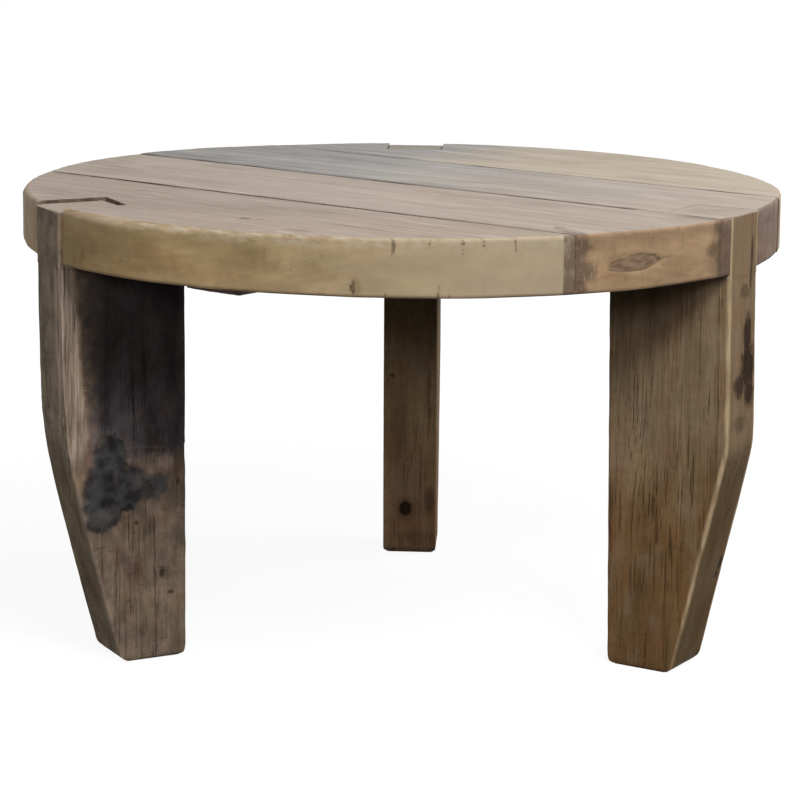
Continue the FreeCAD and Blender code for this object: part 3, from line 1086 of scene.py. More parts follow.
def leg_wood(name, look, extra=None):
    """Rough upright wood for one leg. Extra adds what only that leg has to its colour and shine."""
    material, tree = new_material("wood_leg_" + name)
    space, level = grain_space(tree, LEG_ANGLES[name], OBJECT_Z_IS_GRAIN)
    grain = grain_patterns(tree, space, look.seed, look.pith, look.ring_width, 1.0)
    mixed = grain.streaks * 0.7 + grain.rings * 0.3
    lines = spread(mixed, 0.30, 0.70)
    height = axes(level)[2]
    cloudy = (grain.blotches - 0.5) * 0.22 + height
    upper = spread(cloudy, look.turn_height - 0.06, look.turn_height + 0.06)
    high = blend(lines, look.high_dark, look.high_pale)
    low = blend(lines, look.low_dark, look.low_pale)
    base = blend(upper, low, high)
    warm = spread(mottle(space, (14.0, 34.0, 34.0), (look.seed, 3, 0), detail=4.0), 0.50, 0.68)
    base = blend(warm * 0.40, base, "7a5236")
    base = tinted(base, spread(grain.blotches, 0.25, 0.75, 0.80, 1.16))
    base = tinted(base, spread(grain.fibres, 0.25, 0.75, 0.84, 1.13))
    cross = mottle(space, (150.0, 60.0, 60.0), (2, 0, look.seed), detail=4.0, roughness=0.7)
    base = tinted(base, spread(cross, 0.3, 0.7, 0.92, 1.07))
    base = blend(grain.pores * 0.35, base, "2e2318")
    checks = grain.checks * spread(upper, 0.0, 1.0, 0.80 * look.checked, 0.40 * look.checked)
    base = blend(checks, base, "33251a")
    base = blend(grain.cracks * (0.75 * look.checked), base, "22180f")
    grey = mottle(space, (22.0, 48.0, 48.0), (look.seed, 6, 2), detail=5.0, roughness=0.62)
    base = blend(spread(grey, 0.46, 0.66) * 0.28, base, "8a7b6a")
    scraped = mottle(space, (30.0, 190.0, 190.0), (8, look.seed, 3), detail=4.0)
    scraped = spread(scraped, 0.35, 0.60, 0.45, 0.90)
    base = blend(attribute(tree, "rubbed") * scraped, base, look.rubbed_pale)
    # on a leg the stored number is painted shade under the planks and a darker foot
    base = blend(attribute(tree, "dirt_and_shade"), base, "1b130c")
    rough = spread(grain.streaks, 0.3, 0.7, 0.80, 0.62)
    relief = grain.fibres * 0.6 + cross * 0.25 + grain.streaks
    relief = relief - (grain.cracks * 1.5 + grain.checks)
    if extra:
        base, rough, relief = extra(tree, space, level, grain, base, rough, relief)
    end = blend(spread(grain.rings, 0.1, 0.9), look.end_dark, look.end_pale)
    end = tinted(end, spread(cross, 0.3, 0.7, 0.95, 1.05))
    cut_end = TOP - DROP[name] - 0.0004
    base = blend(spread(height, cut_end - 0.0016, cut_end - 0.0004), base, end)
    finish(tree, base, rough, raised(relief, 0.0011), spread(rough, 0.30, 0.58, 0.18, 0.06))
    return material


print("a leg's look is", ", ".join(LegLook._fields))

# %% [markdown]
# ## A leg as a slab
# A cube is cut into a fine grid and stretched into the slab's outline: upright at the inner edge, and
# at the outer edge upright above the knee and sloping in below it. The outer half of its upper end is
# then extruded up in steps as the head that stands in the notch. Only then are the corners eased.

# %% Outline of a leg
ACROSS_CELLS = 66
THICK_CELLS = 32
UP_CELLS = 208
HEAD_CELLS = 28
KNEE_REACH = {"left": 0.055, "right": 0.007, "back": 0.010}


def outer_edge(name, height):
    """The radius of the leg's outer edge at a height. The knee is a blend between its two straights."""
    upright = LEG_OUTER + PROUD[name]
    foot = LEG_INNER + FOOT_WIDTH
    slope = (upright - foot) / KNEE_HEIGHT
    gap = slope * (KNEE_HEIGHT - height)
    soft = slope * KNEE_REACH[name]
    inward = (gap + math.sqrt(gap * gap + soft * soft)) / 2
    return upright - inward


print(f"left leg from {outer_edge('left', 0):.4f} at the foot to {outer_edge('left', TOP):.4f}")

# %% Grid and stretch the slab
def gridded_cube(cells):
    """A unit cube whose faces are cut into a grid, with a number of cells along each axis."""
    bm = bmesh.new()
    bmesh.ops.create_cube(bm, size=1.0)
    for axis, count in enumerate(cells):
        rails = [edge for edge in bm.edges if abs(edge.verts[0].co[axis] - edge.verts[1].co[axis]) > 0.5]
        bmesh.ops.subdivide_edges(bm, edges=rails, cuts=count - 1, use_grid_fill=True)
    return bm


def slab(name):
    """The leg's sharp-cornered slab in its own frame: X outwards from the table's middle, Z up."""
    bm = gridded_cube((ACROSS_CELLS, THICK_CELLS, UP_CELLS))
    head_column = round(ACROSS_CELLS / 2)
    head_share = (TENON_INNER - LEG_INNER) / (LEG_OUTER + PROUD[name] - LEG_INNER)
    for vertex in bm.verts:
        u, v, w = vertex.co + Vector((0.5, 0.5, 0.5))
        height = w * UNDERSIDE
        outer = outer_edge(name, height)
        split = LEG_INNER + (outer - LEG_INNER) * head_share
        column = u * ACROSS_CELLS
        if column <= head_column:
            x = LEG_INNER + (split - LEG_INNER) * column / head_column
        else:
            x = split + (outer - split) * (column - head_column) / (ACROSS_CELLS - head_column)
        vertex.co = (x, (v - 0.5) * 2 * LEG_HALF, height)
    head = [face for face in bm.faces if face.normal.z > 0.9 and face.calc_center_median().x > TENON_INNER]
    rise = (TOP - DROP[name] - UNDERSIDE) / HEAD_CELLS
    for _ in range(HEAD_CELLS):
        grown = bmesh.ops.extrude_face_region(bm, geom=head)["geom"]
        bmesh.ops.delete(bm, geom=head, context="FACES")
        head = [item for item in grown if isinstance(item, bmesh.types.BMFace)]
        corners = [item for item in grown if isinstance(item, bmesh.types.BMVert)]
        bmesh.ops.translate(bm, vec=(0, 0, rise), verts=corners)
    return bm


print("a slab has", ACROSS_CELLS, "by", THICK_CELLS, "by", UP_CELLS, "cells")

# %% Round a leg's corners
CORNER_REACH = {"left": 0.0045, "right": 0.0034, "back": 0.0042}
FOOT_SIDE = {"left": 0.004, "right": 0.004, "back": 0.008}
HEAD_EDGE = {"left": 0.0010, "right": 0.0001, "back": 0.0010}
LEAN = {"left": 0.0, "right": 0.0070, "back": 0.0022}


def rounded_leg_point(name, point):
    """Where a point of the sharp slab ends up once its corners are worn."""
    x, y, z = point
    side = 1 if y >= 0 else -1
    outer = outer_edge(name, z)
    from_face = LEG_HALF - abs(y)
    uneven = 1 + 0.30 * wobble(side * 3, z * 14, 0, len(name)) + 0.25 * wobble(side * 3, z * 60, 1, len(name))
    reach = CORNER_REACH[name] * uneven
    is_outer = x > (LEG_INNER + outer) / 2
    from_end = outer - x if is_outer else x - LEG_INNER
    if z < UNDERSIDE / 2:
        from_end, z = rounded((from_end, z), (FOOT_CORNER, FOOT_CORNER))
        foot_reach = max(reach, FOOT_SIDE[name])
        from_face, z = rounded((from_face, z), (foot_reach, foot_reach))
    if is_outer or z < UNDERSIDE - 0.0001:
        from_end, from_face = rounded((from_end, from_face), (reach, reach))
    if is_outer and z > UNDERSIDE:
        top, edge = TOP - DROP[name], HEAD_EDGE[name]
        from_end, depth = rounded((from_end, top - z), (edge * 3, edge * 3))
        from_face, depth = rounded((from_face, depth), (edge, edge))
        z = top - depth
    x = outer - from_end if is_outer else LEG_INNER + from_end
    return x, side * (LEG_HALF - from_face), z


print("upright corners are worn by", CORNER_REACH)

# %% Wear that follows the grain
def fibre_wear(name, x, y, z):
    """How deep the weather has worn a leg's face at a place."""
    seed = len(name)
    wave = 0.00045 * (1 + wobble(x * 14, y * 14, z * 3.5, seed))
    ridge = 0.00024 * (1 + wobble(x * 120, y * 120, z * 5, seed + 1))
    fine = 0.00010 * (1 + wobble(x * 330, y * 330, z * 16, seed + 2))
    return wave + ridge + fine


print(f"wear low on the right leg: {fibre_wear('right', 0.3, 0.03, 0.1):.5f}")

# %% Wear a leg
def wear_leg(bm, name, extra_wear):
    """Rounds the corners, wears every face inwards below the rim, and lets the foot lean a little."""
    for vertex in bm.verts:
        vertex.co = rounded_leg_point(name, vertex.co)
    bm.normal_update()
    moves = []
    for vertex in bm.verts:
        x, y, z = vertex.co
        amount = fibre_wear(name, x, y, z) + extra_wear(x, y, z)
        if z > UNDERSIDE - 0.006:
            amount *= 0.12 if x < LEG_OUTER - 0.004 else 0.6
        amount *= step(0.0, 0.006, z)
        moves.append(vertex.normal * -amount)
    turn = LEG_ANGLES[name]
    for vertex, move in zip(bm.verts, moves):
        vertex.co += move
        lean = LEAN[name] * (1 - min(vertex.co.z / UNDERSIDE, 1.0))
        vertex.co.x += lean * math.cos(turn)
        vertex.co.y -= lean * math.sin(turn)


print("feet lean by", LEAN)

# %% [markdown]
# ## Cracks in the legs
# The long cracks that show in the photograph are listed, as distances from the table's middle
# and heights above the floor. The faces that it doesn't show get a few of their own, from a seeded
# draw, because such a leg cracks on every side.

# %% Crack cutters for a leg
# Each row is a radius, a lower and an upper end, a width, a depth and a lean.
SEEN_CRACKS = {
    "right": (
        (0.3515, 0.178, 0.228, 0.0018, 0.006, 0.001), (0.3515, 0.078, 0.160, 0.0022, 0.008, 0.002),
        (0.3285, 0.148, 0.172, 0.0012, 0.004, 0.0), (0.3120, 0.084, 0.148, 0.0015, 0.006, 0.002),
        (0.2910, 0.118, 0.140, 0.0012, 0.004, 0.0), (0.2865, 0.014, 0.070, 0.0016, 0.006, 0.001),
        (0.3145, -0.004, 0.047, 0.0030, 0.012, 0.001), (0.3400, 0.018, 0.056, 0.0020, 0.008, 0.001),
        (0.3325, 0.324, 0.350, 0.0015, 0.004, 0.001), (0.3125, 0.300, 0.356, 0.0012, 0.004, 0.002),
        (0.2957, 0.276, 0.302, 0.0013, 0.004, 0.0), (0.3110, 0.248, 0.273, 0.0012, 0.004, 0.001),
        (0.2770, 0.180, 0.236, 0.0011, 0.004, 0.001),
        (0.3010, 0.200, 0.232, 0.0010, 0.003, 0.0), (0.3380, 0.100, 0.126, 0.0011, 0.004, 0.0),
    ),
    "left": (
        (0.3857, 0.246, 0.392, 0.0020, 0.005, 0.002), (0.3225, 0.224, 0.300, 0.0023, 0.008, 0.001),
        (0.2836, 0.226, 0.296, 0.0014, 0.005, 0.001), (0.3288, 0.096, 0.196, 0.0024, 0.009, 0.001),
        (0.2988, 0.002, 0.182, 0.0027, 0.010, 0.003), (0.3930, 0.300, 0.352, 0.0011, 0.003, 0.001),
        (0.2730, 0.010, 0.060, 0.0012, 0.004, 0.001), (0.3130, 0.020, 0.074, 0.0010, 0.004, 0.001),
    ),
    "back": (
        (0.3050, 0.030, 0.120, 0.0014, 0.005, 0.002), (0.3300, 0.180, 0.300, 0.0014, 0.006, 0.002),
        (0.3500, 0.090, 0.150, 0.0012, 0.005, 0.001), (0.2860, 0.220, 0.330, 0.0012, 0.004, 0.002),
    ),
}
OUTER_CRACKS = {
    "right": ((0.015, 0.163, 0.190), (0.018, 0.396, 0.432), (-0.012, 0.020, 0.080)),
    "left": ((-0.016, 0.120, 0.205), (0.010, 0.300, 0.400), (0.002, 0.030, 0.090)),
    "back": ((-0.010, 0.120, 0.205), (0.012, 0.250, 0.330), (-0.004, 0.340, 0.400)),
}
SEEN_FACE = {"right": -1, "left": 1, "back": -1}
HIDDEN_CRACKS = 7
print("cracks placed by hand:", sum(len(rows) for rows in SEEN_CRACKS.values()))

# %% Cracks of one leg
def leg_crack_cutter(name):
    """All the crack cutters of one leg, in its own frame."""
    bm = bmesh.new()
    side = SEEN_FACE[name]
    for radius, low, high, width, depth, lean in SEEN_CRACKS[name]:
        start = (radius, side * (LEG_HALF - 0.001), low)
        end = (radius + lean, side * (LEG_HALF - 0.001), high)
        add_crack(bm, start, end, (0, -side, 0), width, depth)
    draw = random.Random("leg " + name)
    for index in range(HIDDEN_CRACKS):
        low = draw.uniform(0.02, 0.30)
        high = low + draw.uniform(0.03, 0.09)
        width, depth = draw.uniform(0.0010, 0.0018), draw.uniform(0.004, 0.007)
        radius = LEG_INNER + 0.010 + 0.0088 * index
        if radius < outer_edge(name, low) - 0.012:
            face = -side * (LEG_HALF - 0.001)
            add_crack(bm, (radius, face, low), (radius + 0.001, face, high), (0, side, 0), width, depth)
    for place, low, high in OUTER_CRACKS[name]:
        start = (outer_edge(name, low) - 0.001, place, low)
        end = (outer_edge(name, high) - 0.001, place + 0.001, high)
        add_crack(bm, start, end, (-1, 0, 0), 0.0016, 0.005)
    return new_object("cracks", bm, [crack_wall])


print("drawn cracks for each leg:", HIDDEN_CRACKS)

# %% Rubbed corners, painted shade and a dark foot of a leg
def leg_rubbed_at(name):
    """1 along the upright corners, where the wood is rubbed pale, unevenly."""
    def value(x, y, z):
        lean = LEAN[name] * (1 - min(z / UNDERSIDE, 1.0))
        x -= lean * math.cos(LEG_ANGLES[name])
        y += lean * math.sin(LEG_ANGLES[name])
        to_corner = max(outer_edge(name, z) - x, LEG_HALF - abs(y))
        uneven = 0.85 + 0.5 * wobble(x * 60, y * 60, z * 30, len(name))
        reach = 1 + 0.35 * wobble(0, 0, z * 25, len(name) + 1)
        return min(max(step(0.0062 * reach, 0.0030 * reach, to_corner) * uneven, 0.0), 1.0)
    return value


def leg_shade_and_foot_at(x, y, z):
    """Painted shade where the leg goes up under the planks, deepest at its inner part, and darker at the
    foot's edges.
    """
    # painted shade under the planks: stronger, and reaching further down, towards the inner edge
    inner = step(LEG_OUTER - 0.012, LEG_OUTER - 0.085, x)
    shade = (0.35 + 0.50 * inner) * step(UNDERSIDE - 0.016 - 0.095 * inner, UNDERSIDE, z)
    below_top = shade * step(UNDERSIDE + 0.002, UNDERSIDE, z)
    foot = 0.40 * step(0.010, 0.0, z)
    return max(below_top * (x < LEG_OUTER - 0.004), foot)


print(f"shade under the planks: {leg_shade_and_foot_at(0.3, 0, UNDERSIDE - 0.001):.2f}")

# %% [markdown]
# ## The right leg
# This leg is plain: brown, cracked, with a pale rubbed corner at its outer edge and dark bark marks on
# its outer face, which are left from the outside of the tree.

# %% Places of the right leg's marks
RIGHT_BARK = marks_at(LEG_OUTER, MARK_DEPTH,
                      (0.012, 0.350, 0.010, 0.024, 0.8), (0.014, 0.318, 0.017, 0.027, 0.9),
                      (-0.006, 0.300, 0.014, 0.014, 0.7), (0.018, 0.291, 0.013, 0.015, 0.8),
                      (0.018, 0.428, 0.003, 0.028, 0.6), (0.017, 0.408, 0.003, 0.022, 0.6),
                      (0.004, 0.395, 0.012, 0.008, 0.4), (-0.004, 0.262, 0.016, 0.010, 0.35))
RIGHT_LOW_KNOT = (Mark((0.367, 0.0245, 0.110), (0.03, 0.0048, 0.010), 0.95),
                  Mark((0.364, 0.0200, 0.098), (0.03, 0.0045, 0.006), 0.90))


print("bark marks:", len(RIGHT_BARK))

# %% The right leg's marks
def right_leg_marks(tree, space, level, grain, base, rough, relief):
    """Bark marks and pinkish patches on the outer face, painted shade on that face, and a knot below the
    knee.
    """
    ragged = spread(mottle(level, (240, 240, 60), (4, 1, 2), detail=6.0, roughness=0.80), 0.15, 0.85)
    outside = spread(axes(level)[0], LEG_OUTER - 0.008, LEG_OUTER - 0.003)
    bark = marks(level, RIGHT_BARK, ragged) * outside
    knot = marks(level, RIGHT_LOW_KNOT, mottle(level, (120, 120, 90), detail=3.0))
    pink = spread(mottle(level, (75, 75, 40), (7, 7, 1), detail=4.0), 0.50, 0.66)
    base = blend(pink * outside * 0.25, base, "8f6c57")
    out, across, height = axes(level)
    # painted shade: the outer face gets a darker tone of its own, darkest below the knee where it slopes in
    beyond = spread(out, LEG_OUTER - 0.066, LEG_OUTER - 0.060)
    off_sides = spread(abs(across), LEG_HALF - 0.0055, LEG_HALF - 0.0035, 0.65, 0.0)
    shaded = blend(spread(height, 0.20, 0.26), "56462e", "7f6951")
    base = blend(beyond * off_sides, base, shaded)
    base = blend(spread(bark, 0.0, 0.45, 0.0, 0.45), base, "4a3723")
    base = blend(spread(bark, 0.20, 0.85, 0.0, 0.92), base, "22150a")
    base = blend(knot, base, "170f0a")
    relief = relief - larger(bark, knot) * 1.4
    return base, rough, relief


print("bark and a low knot on the right leg")

# %% The right leg's look
RIGHT_LOOK = LegLook(5.0, (0.30, -0.09), 0.0044, "907a5f", "7d694f", "7c5f3e", "674c2f", 0.200,
                     "aea194", "a6988a", "c0a987", 0.68)
right_wood = leg_wood("right", RIGHT_LOOK, right_leg_marks)
print("made", right_wood.name)

# %% Make a leg
def no_more_wear(x, y, z):
    """For a leg with no special marks in its shape."""
    return 0.0


def make_leg(name, material, extra_wear):
    """One leg with its wear and cracks, still in its own frame."""
    bm = slab(name)
    wear_leg(bm, name, extra_wear)
    piece = new_object("worn_leg_" + name, bm, [material, crack_wall])
    cut(piece, leg_crack_cutter(name))
    paint(piece, "rubbed", leg_rubbed_at(name))
    # stores the painted shade under the planks and the darker foot
    paint(piece, "dirt_and_shade", leg_shade_and_foot_at)
    return piece


right_leg = make_leg("right", right_wood, no_more_wear)
settle(right_leg, LEG_ANGLES["right"], "leg_right")

# %% [markdown]
# ## The back leg
# Its inner edge faces the viewer, in the shade of the top. Low on it is a dark knot with a pointed
# lower end, and beside it the wood is stained.

# %% The back leg's knot, stains and painted shade
BACK_KNOT = (LEG_INNER, 0.0033, 0.0546)
BACK_STAINS = marks_at(LEG_INNER, THIN_MARK_DEPTH,
                       (-0.025, 0.064, 0.008, 0.018, 0.6), (0.020, 0.215, 0.003, 0.004, 0.8),
                       (-0.010, 0.020, 0.030, 0.012, 0.3), (0.010, 0.150, 0.010, 0.050, 0.25))


def back_leg_marks(tree, space, level, grain, base, rough, relief):
    """The knot, the stains round it, and painted shade that darkens the leg towards its top."""
    uneven = mottle(level, (70, 70, 45), detail=3.0)
    away = away_from(level, BACK_KNOT, (0.02, 0.0070, 0.0092))
    away = (uneven - 0.5) * 0.35 + away
    inside = spread(away, 0.80, 1.10, 1.0, 0.0)
    stain = larger(marks(level, BACK_STAINS, uneven), spread(away, 1.0, 2.2, 0.40, 0.0))
    base = blend(stain, base, "2f2116")
    # painted shade: the leg darkens towards its top, under the planks
    base = tinted(base, spread(axes(level)[2], 0.20, 0.34, 1.0, 0.55))
    base = blend(inside * 0.95, base, "231611")
    relief = relief - inside * 0.8
    return base, rough, relief


def back_knot_wear(x, y, z):
    """The knot has shrunk below the face round it."""
    if x > LEG_INNER + 0.003:
        return 0.0
    away = math.hypot((y - BACK_KNOT[1]) / 0.0075, (z - BACK_KNOT[2]) / 0.0095)
    return 0.0012 * (1 - step(0.85, 1.05, away))


print("back knot worn by", back_knot_wear(*BACK_KNOT))

# %% Make the back leg
# the back leg's wood is lighter than the other legs': painted light that makes up for the shade under the
# table
BACK_LOOK = LegLook(6.0, (0.16, 0.05), 0.0042, "9a8261", "85704f", "99795a", "83644a", 0.140,
                    "a39c92", "948d83", "8f8474", 0.40)
back_wood = leg_wood("back", BACK_LOOK, back_leg_marks)
back_leg = make_leg("back", back_wood, back_knot_wear)
settle(back_leg, LEG_ANGLES["back"], "leg_back")

# %% [markdown]
# ## The left leg
# The board that this leg was cut from had been split and burnt. Down its outer edge the wood has torn
# away in pale ridges. The rest of the upper face is black, and where the black ends there are thick
# shiny lumps. Two numbers on the mesh, for the torn strip and for the black, drive the material, and
# the same functions shape the mesh, so colour and relief agree.

# %% Where the left leg is torn and black
STRIP_EDGE = ((0.417, 0.3850), (0.380, 0.3835), (0.360, 0.3815),
              (0.299, 0.3790), (0.268, 0.3740), (0.215, 0.3735))


def strip_edge(height):
    """The radius where the torn strip starts, at a height."""
    wavy = 0.0014 * wobble(height * 40, 0, 0, 21) + 0.0007 * wobble(height * 160, 0, 0, 22)
    for (high, outer), (low, inner) in zip(STRIP_EDGE, STRIP_EDGE[1:]):
        if height >= low:
            share = (min(height, high) - low) / (high - low)
            return inner + (outer - inner) * share + wavy
    return STRIP_EDGE[-1][1] + wavy


Lump = namedtuple("Lump", "radius height half_width half_height")
TAR_LUMPS = [Lump(*row) for row in (
    (0.3500, 0.212, 0.0190, 0.030), (0.3530, 0.188, 0.0260, 0.032), (0.3560, 0.164, 0.0225, 0.020),
    (0.3590, 0.152, 0.0170, 0.013), (0.3470, 0.154, 0.0085, 0.010), (0.3250, 0.186, 0.0250, 0.023),
    (0.3050, 0.183, 0.0220, 0.016), (0.3320, 0.174, 0.0180, 0.015)
)]
LEDGE_HEIGHT = 0.224


def lump_at(lump, x, z, softness):
    """1 in the middle of a lump, 0 outside it."""
    ragged = 0.16 * wobble(x * 90, 0, z * 90, 23) + 0.08 * wobble(x * 260, 0, z * 260, 24)
    away = math.hypot((x - lump.radius) / lump.half_width, (z - lump.height) / lump.half_height) + ragged
    return 1 - step(1 - softness, 1 + softness, away)


def on_seen_face(y):
    """1 on the face that the viewer sees, 0 a little round its corners."""
    return step(LEG_HALF - 0.012, LEG_HALF - 0.005, y)


def tar_at(x, y, z):
    """How much of the thick black is at a place. It thins out towards the inner edge."""
    thick = max(lump_at(lump, x, z, 0.34) for lump in TAR_LUMPS)
    return on_seen_face(y) * thick * (1 - 0.35 * step(0.330, 0.300, x))


print(f"the torn strip starts at {strip_edge(0.3):.4f}")

# %% How the black fades
def burnt_at(x, y, z):
    """How black a place is. The black fades downwards and towards the torn strip."""
    wavy = 0.010 * wobble(x * 45, 0, z * 20, 25)
    above = step(LEDGE_HEIGHT - 0.052 + wavy, LEDGE_HEIGHT + 0.020 + wavy, z)
    inside = step(strip_edge(z) + 0.0010, strip_edge(z) - 0.0040, x)
    paler = 1 - 0.45 * step(0.345, 0.382, x) - 0.10 * step(0.30, 0.24, z)
    near_lumps = 0.75 * max(lump_at(lump, x, z, 0.45) for lump in TAR_LUMPS)
    inner_edge = 1 - 0.5 * step(0.272, 0.264, x)
    seen = max(above * inside * paler * inner_edge, near_lumps, 0.9 * tar_at(x, y, z))
    hidden = 0.35 * step(0.20, 0.36, z) * inside
    return hidden + (seen - hidden) * on_seen_face(y)


def torn_at(x, y, z):
    """1 in the torn strip."""
    outside = step(strip_edge(z) - 0.0008, strip_edge(z) + 0.0012, x)
    tapered = step(0.196, 0.232, z + 0.9 * (x - 0.392))
    on_face = step(LEG_HALF - 0.020, LEG_HALF - 0.006, y)
    return outside * tapered * on_face * step(UNDERSIDE + 0.004, UNDERSIDE - 0.004, z)


print("burnt and torn at 0.3 m up:", burnt_at(0.34, LEG_HALF, 0.3), torn_at(0.39, LEG_HALF, 0.3))

# %% Shape of the torn strip and the lumps
def left_leg_wear(x, y, z):
    """The strip is torn a few millimetres deep in ridges, and the lumps stand a little proud."""
    torn = torn_at(x, y, z)
    ridges = 0.0018 + 0.0012 * wobble(x * 240, 0, z * 9, 26) + 0.0007 * wobble(x * 600, 0, z * 22, 27)
    splinters = 0.0009 * abs(wobble(x * 150, 0, z * 30, 28))
    bark = 0.0005 * (1 + wobble(0, y * 60, z * 18, 29)) if x > LEG_OUTER else 0.0
    swell = 0.0009 * tar_at(x, y, z) * (1 + 0.8 * wobble(x * 80, 0, z * 80, 30))
    shelf = 0.0008 * on_seen_face(y) * step(LEDGE_HEIGHT + 0.001, LEDGE_HEIGHT - 0.001, z)
    shelf *= step(LEDGE_HEIGHT - 0.030, LEDGE_HEIGHT - 0.006, z) * step(0.326, 0.318, x)
    return torn * (ridges + splinters) + bark + shelf - swell


print(f"depth in the strip: {left_leg_wear(0.39, LEG_HALF, 0.3):.4f}")

# %% Marks on the left leg
def face_marks(*rows):
    """Marks on the seen face, from rows of radius, height, half width, half height and strength."""
    return [Mark((radius, LEG_HALF, height), (half_width, THIN_MARK_DEPTH, half_height), strength)
            for radius, height, half_width, half_height, strength in rows]


LEFT_PATCH = face_marks(
    (0.2885, 0.207, 0.0115, 0.0115, 0.95), (0.3000, 0.214, 0.014, 0.006, 0.35),
    (0.3180, 0.2245, 0.016, 0.0014, 0.2), (0.2960, 0.2235, 0.016, 0.0012, 0.2))
LEFT_GREY_TAR = face_marks(
    (0.3610, 0.155, 0.017, 0.013, 0.70), (0.3440, 0.160, 0.007, 0.010, 0.35),
    (0.3430, 0.196, 0.004, 0.009, 0.35), (0.3500, 0.207, 0.010, 0.003, 0.30))
STRIP_PALE = face_marks(
    (0.3865, 0.322, 0.004, 0.030, 0.8), (0.3795, 0.275, 0.004, 0.022, 0.6))
LEFT_RED = face_marks(
    (0.3230, 0.092, 0.012, 0.020, 0.5), (0.3420, 0.112, 0.008, 0.012, 0.35),
    (0.2790, 0.214, 0.012, 0.030, 0.4), (0.3720, 0.222, 0.006, 0.020, 0.55),
    (0.3000, 0.146, 0.014, 0.010, 0.3))
LEFT_SPOTS = face_marks(
    (0.2925, 0.091, 0.0035, 0.0065, 0.75), (0.2825, 0.069, 0.0055, 0.0026, 0.7),
    (0.3435, 0.1645, 0.0020, 0.0022, 0.8), (0.3205, 0.1457, 0.0030, 0.0032, 0.8),
    (0.2740, 0.186, 0.0026, 0.0050, 0.6))


print("red patches:", len(LEFT_RED), "and spots:", len(LEFT_SPOTS))

# %% The left leg's wood
def left_leg_marks(tree, space, level, grain, base, rough, relief):
    """The torn strip's pale fibres, the black and its shiny lumps, with painted shade on the black towards
    the top, and the marks lower down.
    """
    torn, burnt, tar = attribute(tree, "torn"), attribute(tree, "burnt"), attribute(tree, "tar")
    uneven = mottle(level, (110, 110, 80), (5, 1, 3), detail=4.0, roughness=0.6)
    outside = spread(axes(level)[0], LEG_OUTER - 0.070, LEG_OUTER - 0.040)
    off_seen_face = spread(axes(level)[1], LEG_HALF - 0.0035, LEG_HALF - 0.0060)
    outer = outside * off_seen_face * 0.7
    outer_tone = blend(spread(axes(level)[2], 0.18, 0.27), "64543d", "8b8072")
    base = blend(outer, base, outer_tone)
    plain = mottle(level, (42, 42, 26), (3, 3, 8), detail=4.0, roughness=0.6)
    plain = blend(spread(plain, 0.36, 0.64), "6d5e48", "83705f")
    base = blend((1.0 - outer) * 0.5, base, plain)
    base = blend(marks(level, LEFT_RED, uneven), base, "65463b")
    ragged = mottle(level, (330, 330, 330), (2, 2, 5), detail=4.0, roughness=0.7)
    base = blend(marks(level, LEFT_SPOTS, ragged), base, "221811")
    blotch = mottle(level, (48, 48, 30), (7, 3, 1), detail=5.0, roughness=0.65)
    base = tinted(base, spread(blotch, 0.34, 0.66, 0.66, 1.26))
    crackle = mottle(level, (60.0, 60.0, 330.0), (1, 1, 6), detail=3.0, roughness=0.6)
    crackle = spread(crackle, 0.60, 0.66) * spread(uneven, 0.45, 0.6)
    base = blend(crackle * 0.60, base, "33261d")
    splinters = mottle(space, (11.0, 300.0, 300.0), (1, 5, 2), detail=4.0, roughness=0.65)
    pale = blend(spread(splinters, 0.36, 0.60), "6a5b4e", "bfab98")
    patch = spread(mottle(space, (13.0, 80.0, 80.0), (2, 2, 7), detail=2.0), 0.44, 0.60)
    pale = blend(patch * 0.40, pale, "a89685")
    browner = spread(mottle(space, (16.0, 60.0, 60.0), (9, 4, 7), detail=4.0), 0.48, 0.60)
    pale = blend(browner * 0.35, pale, "5f4a3a")
    pale = blend(marks(level, STRIP_PALE, uneven), pale, "b09c87")
    base = blend(torn, base, pale)
    lower = spread(axes(level)[2], 0.20, 0.34)
    clouds = mottle(level, (34, 34, 20), (6, 2, 8), detail=5.0, roughness=0.62)
    soot_and_shade = grain.streaks * 0.35 + clouds * 0.65
    soot_and_shade = blend(spread(soot_and_shade, 0.34, 0.66), "252325", "514a4c")
    purple = spread(mottle(space, (9.0, 26.0, 26.0), (3, 0, 3), detail=4.0, roughness=0.6), 0.46, 0.66)
    soot_and_shade = blend(purple * spread(lower, 0.0, 1.0, 0.60, 0.15), soot_and_shade, "4d3f3c")
    # the black darkens towards the top and pales lower down: partly the burn's own fade, partly painted shade
    # under the planks
    soot_and_shade = tinted(soot_and_shade, spread(lower, 0.0, 1.0, 1.62, 0.62))
    crust = mottle(level, (70, 70, 70), (0, 2, 0), detail=3.0, roughness=0.5)
    skin = blend(spread(crust, 0.38, 0.66), "1b1b1e", "333337")
    specks = spread(mottle(level, (420, 420, 420), (4, 4, 1), detail=2.0), 0.69, 0.75)
    skin = blend(specks * 0.35, skin, "8f8d8b")
    skin = blend(marks(level, LEFT_GREY_TAR, uneven), skin, "524e4c")
    frayed = mottle(level, (190, 190, 190), (3, 9, 2), detail=5.0, roughness=0.7)
    tar = spread((frayed - 0.5) * 1.3 + tar, 0.25, 0.75)
    soot_and_shade = blend(tar, soot_and_shade, skin)
    smoky = mottle(level, (38, 38, 38), (8, 1, 3), detail=5.0, roughness=0.65)
    cover = (smoky - 0.5) * 1.1 + burnt
    cover = spread(cover, 0.05, 0.90, 0.0, 0.96)
    base = blend(cover, base, soot_and_shade)
    base = blend(marks(level, LEFT_PATCH, uneven), base, "8e7a6f")
    gloss = tar * spread(crust, 0.35, 0.65, 0.10, 0.34)
    rough = torn * 0.12 + rough - gloss
    relief = relief * (1.0 - tar * 0.85)
    relief = tar * crust * 2.2 + relief
    relief = torn * splinters * 1.8 + relief
    return base, rough, relief


print("torn strip, black and lumps on the left leg")

